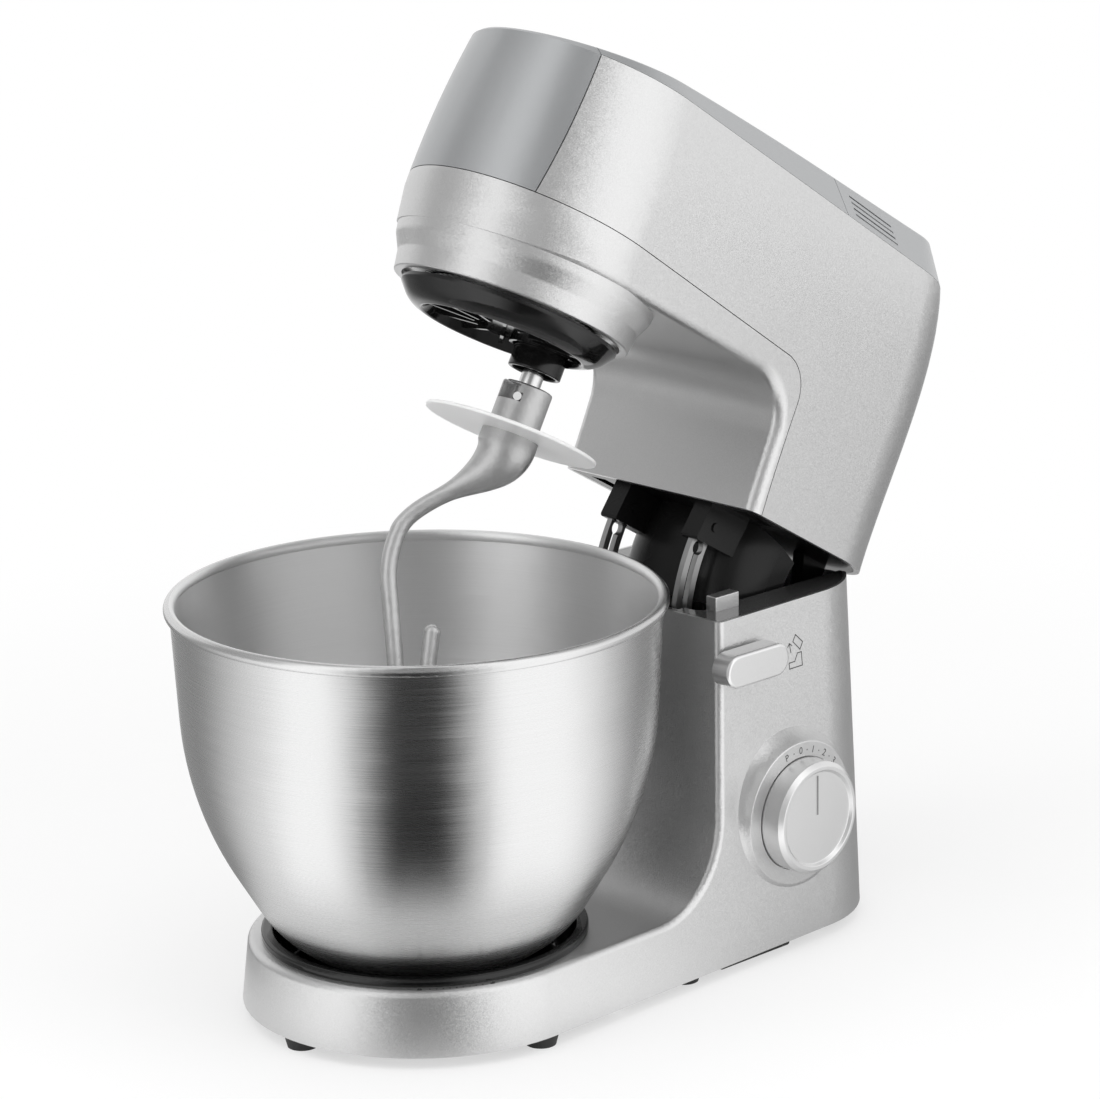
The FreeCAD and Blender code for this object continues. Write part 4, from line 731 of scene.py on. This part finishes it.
# %% Lever sign
SIGN_Y, SIGN_Z = 77.0 * MM, 143.0 * MM
STROKE = 0.5 * MM
STROKES = [
    [(-5.0, -7.5), (4.2, -7.5), (4.2, -1.0), (1.4, -1.0), (-1.0, -4.6), (-5.0, -4.6), (-5.0, -7.5)],
    [(3.4, 0.4), (5.6, 3.6), (1.0, 8.0), (-1.2, 5.0), (3.4, 0.4)],
    [(-3.2, 0.2), (-3.8, 4.6)],
    [(-5.0, 3.2), (-3.8, 4.6), (-2.2, 3.4)],
]


def strip(first, second):
    """A flat strip from one point of the drawing to the next, both in millimetres."""
    along = (Vector(second) - Vector(first)).normalized() * STROKE / 2
    side = Vector((-along.y, along.x))
    start, end = Vector(first) * MM - along, Vector(second) * MM + along
    corners = [start - side, end - side, end + side, start + side]
    places = [on_stand(Vector((RAY_X, SIGN_Y + y, SIGN_Z + z)), INWARD) for y, z in corners]
    mesh = bpy.data.meshes.new("strip")
    mesh.from_pydata(places, [], [(0, 1, 2, 3)])
    return mesh


strips = [strip(a, b) for line in STROKES for a, b in zip(line, line[1:])]
lever_sign = gather("lever_sign", strips, ink, "stand")
print("lever sign:", len(lever_sign.data.polygons), "strokes")

# %% [markdown]
# The vents on both sides of the rear cover are shallow grooves with a bright slat in each. The floor of a
# groove lies a set depth under the cover's convex hull, which tells it from the outer wall and from the
# inside. So the grooves are found on the mesh itself, and the slats fit them.

# %% Groove floors
FLOOR_DEPTHS = (1.2 * MM, 1.75 * MM)
FLOOR_LEAN = 0.4


def hull_tree(mesh):
    """A search tree over the convex hull of a mesh."""
    work = bmesh.new()
    work.from_mesh(mesh)
    hull = bmesh.ops.convex_hull(work, input=work.verts)["geom"]
    corners = [[v.co.copy() for v in f.verts] for f in hull if isinstance(f, bmesh.types.BMFace)]
    work.free()
    points = [point for corner in corners for point in corner]
    return BVHTree.FromPolygons(points, [(3 * i, 3 * i + 1, 3 * i + 2) for i in range(len(corners))])


def on_floor(polygon, hull, side):
    """Whether a face leans up and out on this side and lies at the depth of a groove's floor."""
    normal, middle = polygon.normal, polygon.center
    leans = normal.x * side > FLOOR_LEAN and normal.z > FLOOR_LEAN and middle.x * side > 0
    return leans and FLOOR_DEPTHS[0] < hull.find_nearest(middle)[3] < FLOOR_DEPTHS[1]


def groove_floors(mesh, hull, side):
    """The corners and the normal of each groove's floor on one side, in the order of the row."""
    floors = []
    for polygon in mesh.polygons:
        if not on_floor(polygon, hull, side):
            continue
        corners = set(polygon.vertices)
        for found, _ in floors:
            if found & corners:
                found |= corners
                break
        else:
            floors.append((corners, polygon.normal.copy()))

    def rank(floor):
        points, normal = floor
        row_way = normal.cross((side, 0, 0))
        return sum(point.dot(row_way) for point in points) / len(points)

    return sorted([([mesh.vertices[i].co for i in found], normal) for found, normal in floors], key=rank)


cover_mesh = skins["rear_cover"].data
cover_hull = hull_tree(cover_mesh)
vent_floors = {side: groove_floors(cover_mesh, cover_hull, side) for side in (1, -1)}
print("groove floors:", {side: len(rows) for side, rows in vent_floors.items()})

# %% [markdown]
# A slat is a plain bar. The first and the last floor of a side give the place and the pitch of its row, and a
# second tree fills the row with bars.

# %% Vent slats
SLAT_WIDTH = 0.95 * MM
SLAT_HEIGHT = 1.0 * MM
SLAT_SHARE = 0.985


def make_slat_tree():
    """A tree for a row of bars: they lie along local X and the row steps along Pitch."""
    tree, given = start_tree("slat_row", [("Int", "Count"), ("Vector", "Pitch"), ("Vector", "Bar Size")])
    row = tree.nodes.new("GeometryNodeMeshLine")
    tree.links.new(given.outputs["Count"], row.inputs["Count"])
    tree.links.new(given.outputs["Pitch"], row.inputs["Offset"])
    bar = tree.nodes.new("GeometryNodeMeshCube")
    tree.links.new(given.outputs["Bar Size"], bar.inputs["Size"])
    end_tree(tree, given, row, bar)
    return tree


def floor_middle(corners):
    """The middle of a floor and the vector along it from end to end."""
    ends = sorted(corners, key=lambda p: p.y)
    low, high = (ends[0] + ends[1]) / 2, (ends[-2] + ends[-1]) / 2
    return (low + high) / 2, high - low


def slat_row(floors):
    """The slats of one side, laid on their groove floors."""
    first, along = floor_middle(floors[0][0])
    last, _ = floor_middle(floors[-1][0])
    off = floors[0][1]
    across = off.cross(along).normalized()
    turn = Matrix((along.normalized(), across, off))
    mesh = tree_mesh(slat_tree, {
        "Count": len(floors), "Pitch": turn @ ((last - first) / (len(floors) - 1)),
        "Bar Size": (along.length * SLAT_SHARE, SLAT_WIDTH, SLAT_HEIGHT), "Finish": silver})
    mesh.transform(axes_at(first + off * SLAT_HEIGHT / 2, along.normalized(), across, off))
    return mesh


slat_tree = make_slat_tree()
vent_slats = gather("vent_slats", [slat_row(floors) for floors in vent_floors.values()], silver, "head")
print("vent slats:", len(vent_slats.data.polygons), "faces")

# %% [markdown]
# The studio is a white floor with soft lamps. The floor takes the shadow near the object and is plain white
# farther out, where the camera and the metal see it as the background.

# %% Floor and world
FLOOR_HALF = 9.0
SHADOW_R = 0.35
WHITE_R = 0.8
FLOOR_GLOW = 0.6
WORLD_LIGHT = 0.6


def seen_or_mirrored(tree):
    """1 for camera, glossy and transmission rays, 0 for the rays that light the object."""
    path = tree.nodes.new("ShaderNodeLightPath")
    mirrored = math_node(tree, "MAXIMUM", path.outputs["Is Glossy Ray"], path.outputs["Is Transmission Ray"])
    return math_node(tree, "MAXIMUM", path.outputs["Is Camera Ray"], mirrored)


def ramp(tree, value, start, end, low, high):
    """Runs smoothly from low to high as the value goes from start to end."""
    node = tree.nodes.new("ShaderNodeMapRange")
    node.interpolation_type = "SMOOTHSTEP"
    operands = {"Value": value, "From Min": start, "From Max": end, "To Min": low, "To Max": high}
    for label, operand in operands.items():
        feed(tree, operand, node.inputs[label])
    return node.outputs[0]


def blend_surface(tree, share, first, second):
    """Makes the material's surface a mix of two shaders."""
    mix = tree.nodes.new("ShaderNodeMixShader")
    for socket, slot in zip((share, first.outputs[0], second.outputs[0]), mix.inputs):
        tree.links.new(socket, slot)
    tree.links.new(mix.outputs[0], tree.nodes["Material Output"].inputs["Surface"])


def make_floor():
    """A white sheet whose far part is plain white to the camera."""
    mesh = bpy.data.meshes.new("floor")
    corners = [(x * FLOOR_HALF, y * FLOOR_HALF, 0) for x, y in ((-1, -1), (1, -1), (1, 1), (-1, 1))]
    mesh.from_pydata(corners, [], [(0, 1, 2, 3)])
    floor = bpy.data.objects.new("floor", mesh)
    bpy.context.scene.collection.objects.link(floor)
    material, shader = start_finish(
        "floor_white", {"Base Color": grey(0.93), "Roughness": 0.9, "Specular IOR Level": 0.0})
    tree = material.node_tree
    reach = vector_node(tree, "LENGTH", object_place(tree))
    fade = ramp(tree, reach, SHADOW_R, WHITE_R, FLOOR_GLOW, 1.0)
    glow = tree.nodes.new("ShaderNodeEmission")
    blend_surface(tree, math_node(tree, "MULTIPLY", fade, seen_or_mirrored(tree)), shader, glow)
    mesh.materials.append(material)


def make_world():
    """White to the camera and the metal, and dimmer as a light."""
    world = bpy.data.worlds.new("studio")
    bpy.context.scene.world = world
    world.use_nodes = True
    tree = world.node_tree
    back = tree.nodes["Background"]
    back.inputs["Color"].default_value = grey(1.0)
    span = math_node(tree, "MULTIPLY", seen_or_mirrored(tree), 1 - WORLD_LIGHT)
    tree.links.new(math_node(tree, "ADD", span, WORLD_LIGHT), back.inputs["Strength"])


make_floor()
make_world()
print("floor half width", FLOOR_HALF, "m")

# %% [markdown]
# Metal only looks like metal when it has something dark and something bright to mirror. A photographer hangs
# a tent of cloth round such an object, dark at the front where the camera stands and bright where two big
# lamps shine on it. The tent's light here is fixed in the room: its level follows the turn about the bowl's
# axis, counted from that front.

# %% Tent light
CAMERA_AZIMUTH = 46.0
TENT_INNER_R = 0.085
TENT_FULL_R = 0.17
DARK_TO = 8.0
BRIGHT_FROM = 42.0
BRIGHT_TO = 60.0
DIM_FROM = 126.0
DIM_TO = 142.0
BACK_FROM = 172.0
BRIGHT_LEVEL = 1.5
LEFT_FULL = -0.98
LEFT_END = -0.8


def tent_glow(name, dark, dim, left_share):
    """Light that is dark at the front, bright to both sides, dim past them and white at the back."""
    material = bpy.data.materials.new(name)
    material.use_nodes = True
    tree = material.node_tree
    centred = vector_node(tree, "SUBTRACT", object_place(tree), bowl_axis)
    flat = vector_node(tree, "MULTIPLY", centred, (1, 1, 0))
    outward = vector_node(tree, "NORMALIZE", flat)
    to_front = vector_node(tree, "DOT_PRODUCT", outward, from_side(CAMERA_AZIMUTH))
    to_right = vector_node(tree, "DOT_PRODUCT", outward, from_side(CAMERA_AZIMUTH + 90))
    turn = math_node(tree, "DEGREES", math_node(tree, "ARCCOSINE", to_front))
    share = ramp(tree, to_right, LEFT_FULL, LEFT_END, left_share, 1.0)
    behind = ramp(tree, turn, DIM_TO, BACK_FROM, dim, 1.0)
    sides = ramp(tree, turn, BRIGHT_TO, DIM_FROM, BRIGHT_LEVEL, behind)
    level = ramp(tree, turn, DARK_TO, BRIGHT_FROM, dark, math_node(tree, "MULTIPLY", sides, share))
    clear = tree.nodes.new("ShaderNodeBsdfTransparent")
    glow = tree.nodes.new("ShaderNodeEmission")
    tree.links.new(level, glow.inputs["Strength"])
    reach = vector_node(tree, "LENGTH", flat)
    blend_surface(tree, ramp(tree, reach, TENT_INNER_R, TENT_FULL_R, 0.0, 1.0), clear, glow)
    return material


tent_lights = {
    "tent_floor": tent_glow("tent_floor", dark=0.015, dim=0.32, left_share=0.8),
    "tent_wall": tent_glow("tent_wall", dark=0.40, dim=1.0, left_share=0.38),
    "tent_roof": tent_glow("tent_roof", dark=0.25, dim=0.55, left_share=0.7),
}
print("tent lights:", len(tent_lights))

# %% [markdown]
# The tent itself is three turned sheets, floor, wall and roof. Only reflections see them, so they neither
# light the object nor hide it from the camera.

# %% Tent sheets
TENT_R = 2.4
TENT_HOLE_R = 0.05
TENT_LIFT = 1 * MM
TENT_HEIGHT = 2.0
TENT_TOP = 2.6
TENT_STEPS = 72


def turned_sheet(name, profile):
    """A sheet turned about the Z axis from points of radius and height, seen by reflections only."""
    points, faces = [], []
    for i in range(TENT_STEPS):
        a = 2 * math.pi * i / TENT_STEPS
        points += [(r * math.cos(a), r * math.sin(a), z) for r, z in profile]
    count = len(profile)
    for i in range(TENT_STEPS):
        here, after = i * count, (i + 1) % TENT_STEPS * count
        faces += [(here + j, here + j + 1, after + j + 1, after + j) for j in range(count - 1)]
    mesh = bpy.data.meshes.new(name)
    mesh.from_pydata(points, [], faces)
    mesh.materials.append(tent_lights[name])
    sheet = bpy.data.objects.new(name, mesh)
    bpy.context.scene.collection.objects.link(sheet)
    sheet.visible_camera = False
    sheet.visible_diffuse = False
    sheet.visible_shadow = False
    sheet.visible_transmission = False


turned_sheet("tent_floor", [(TENT_HOLE_R, TENT_LIFT), (TENT_R, TENT_LIFT)])
turned_sheet("tent_wall", [(TENT_R, 0), (TENT_R, TENT_HEIGHT)])
turned_sheet("tent_roof", [(TENT_R, TENT_HEIGHT), (TENT_HOLE_R, TENT_TOP)])
print("tent radius", TENT_R, "m")

# %% [markdown]
# The lamps themselves are three large soft boxes: one above and one to each side of the camera, where the
# tent is bright. The tent already stands for them in reflections, so they are left out of those.

# %% Lamps
CENTRE = Vector((0, 0, 0.2))
LAMP_TURN = 58.0


def lamp(name, azimuth, elevation, distance, width, height, watts):
    """A soft box that faces the object."""
    data = bpy.data.lights.new(name, "AREA")
    data.shape = "RECTANGLE"
    data.size, data.size_y = width, height
    data.energy = watts
    away = from_side(azimuth, elevation)
    light = bpy.data.objects.new(name, data)
    light.location = CENTRE + distance * away
    light.rotation_euler = (-away).to_track_quat("-Z", "Y").to_euler()
    light.visible_glossy = False
    bpy.context.scene.collection.objects.link(light)


lamp("lamp_top", azimuth=20, elevation=78, distance=1.7, width=1.6, height=1.6, watts=14)
lamp("lamp_right", CAMERA_AZIMUTH + LAMP_TURN, elevation=25, distance=1.8, width=1.2, height=1.6, watts=10)
lamp("lamp_left", CAMERA_AZIMUTH - LAMP_TURN, elevation=20, distance=1.8, width=0.9, height=1.6, watts=8)
print("lamps set")

# %% [markdown]
# The camera stands where the photographer stood: a little above the bowl's rim, off the front towards the
# dial side, far enough away for a long lens.

# %% Camera
CAMERA_ELEVATION = 15.316
CAMERA_ROLL = -0.935
CAMERA_DISTANCE = 1.9
CAMERA_TARGET = Vector((0.00473, -0.025, 0.20262))
SENSOR = 36.0
LENS = 133.47


def make_camera():
    """A camera on its stand, turned to the target and rolled."""
    data = bpy.data.cameras.new("camera")
    data.sensor_width = SENSOR
    data.lens = LENS
    back = from_side(CAMERA_AZIMUTH, CAMERA_ELEVATION)
    level = from_side(CAMERA_AZIMUTH + 90)
    upright = back.cross(level)
    roll = math.radians(CAMERA_ROLL)
    right = level * math.cos(roll) + upright * math.sin(roll)
    up = upright * math.cos(roll) - level * math.sin(roll)
    camera = bpy.data.objects.new("camera", data)
    camera.matrix_world = axes_at(CAMERA_TARGET + back * CAMERA_DISTANCE, right, up, back)
    bpy.context.scene.collection.objects.link(camera)
    bpy.context.scene.camera = camera
    return camera


camera = make_camera()
bpy.context.scene.view_settings.view_transform = "Standard"
print("camera at", [round(v, 4) for v in camera.location])
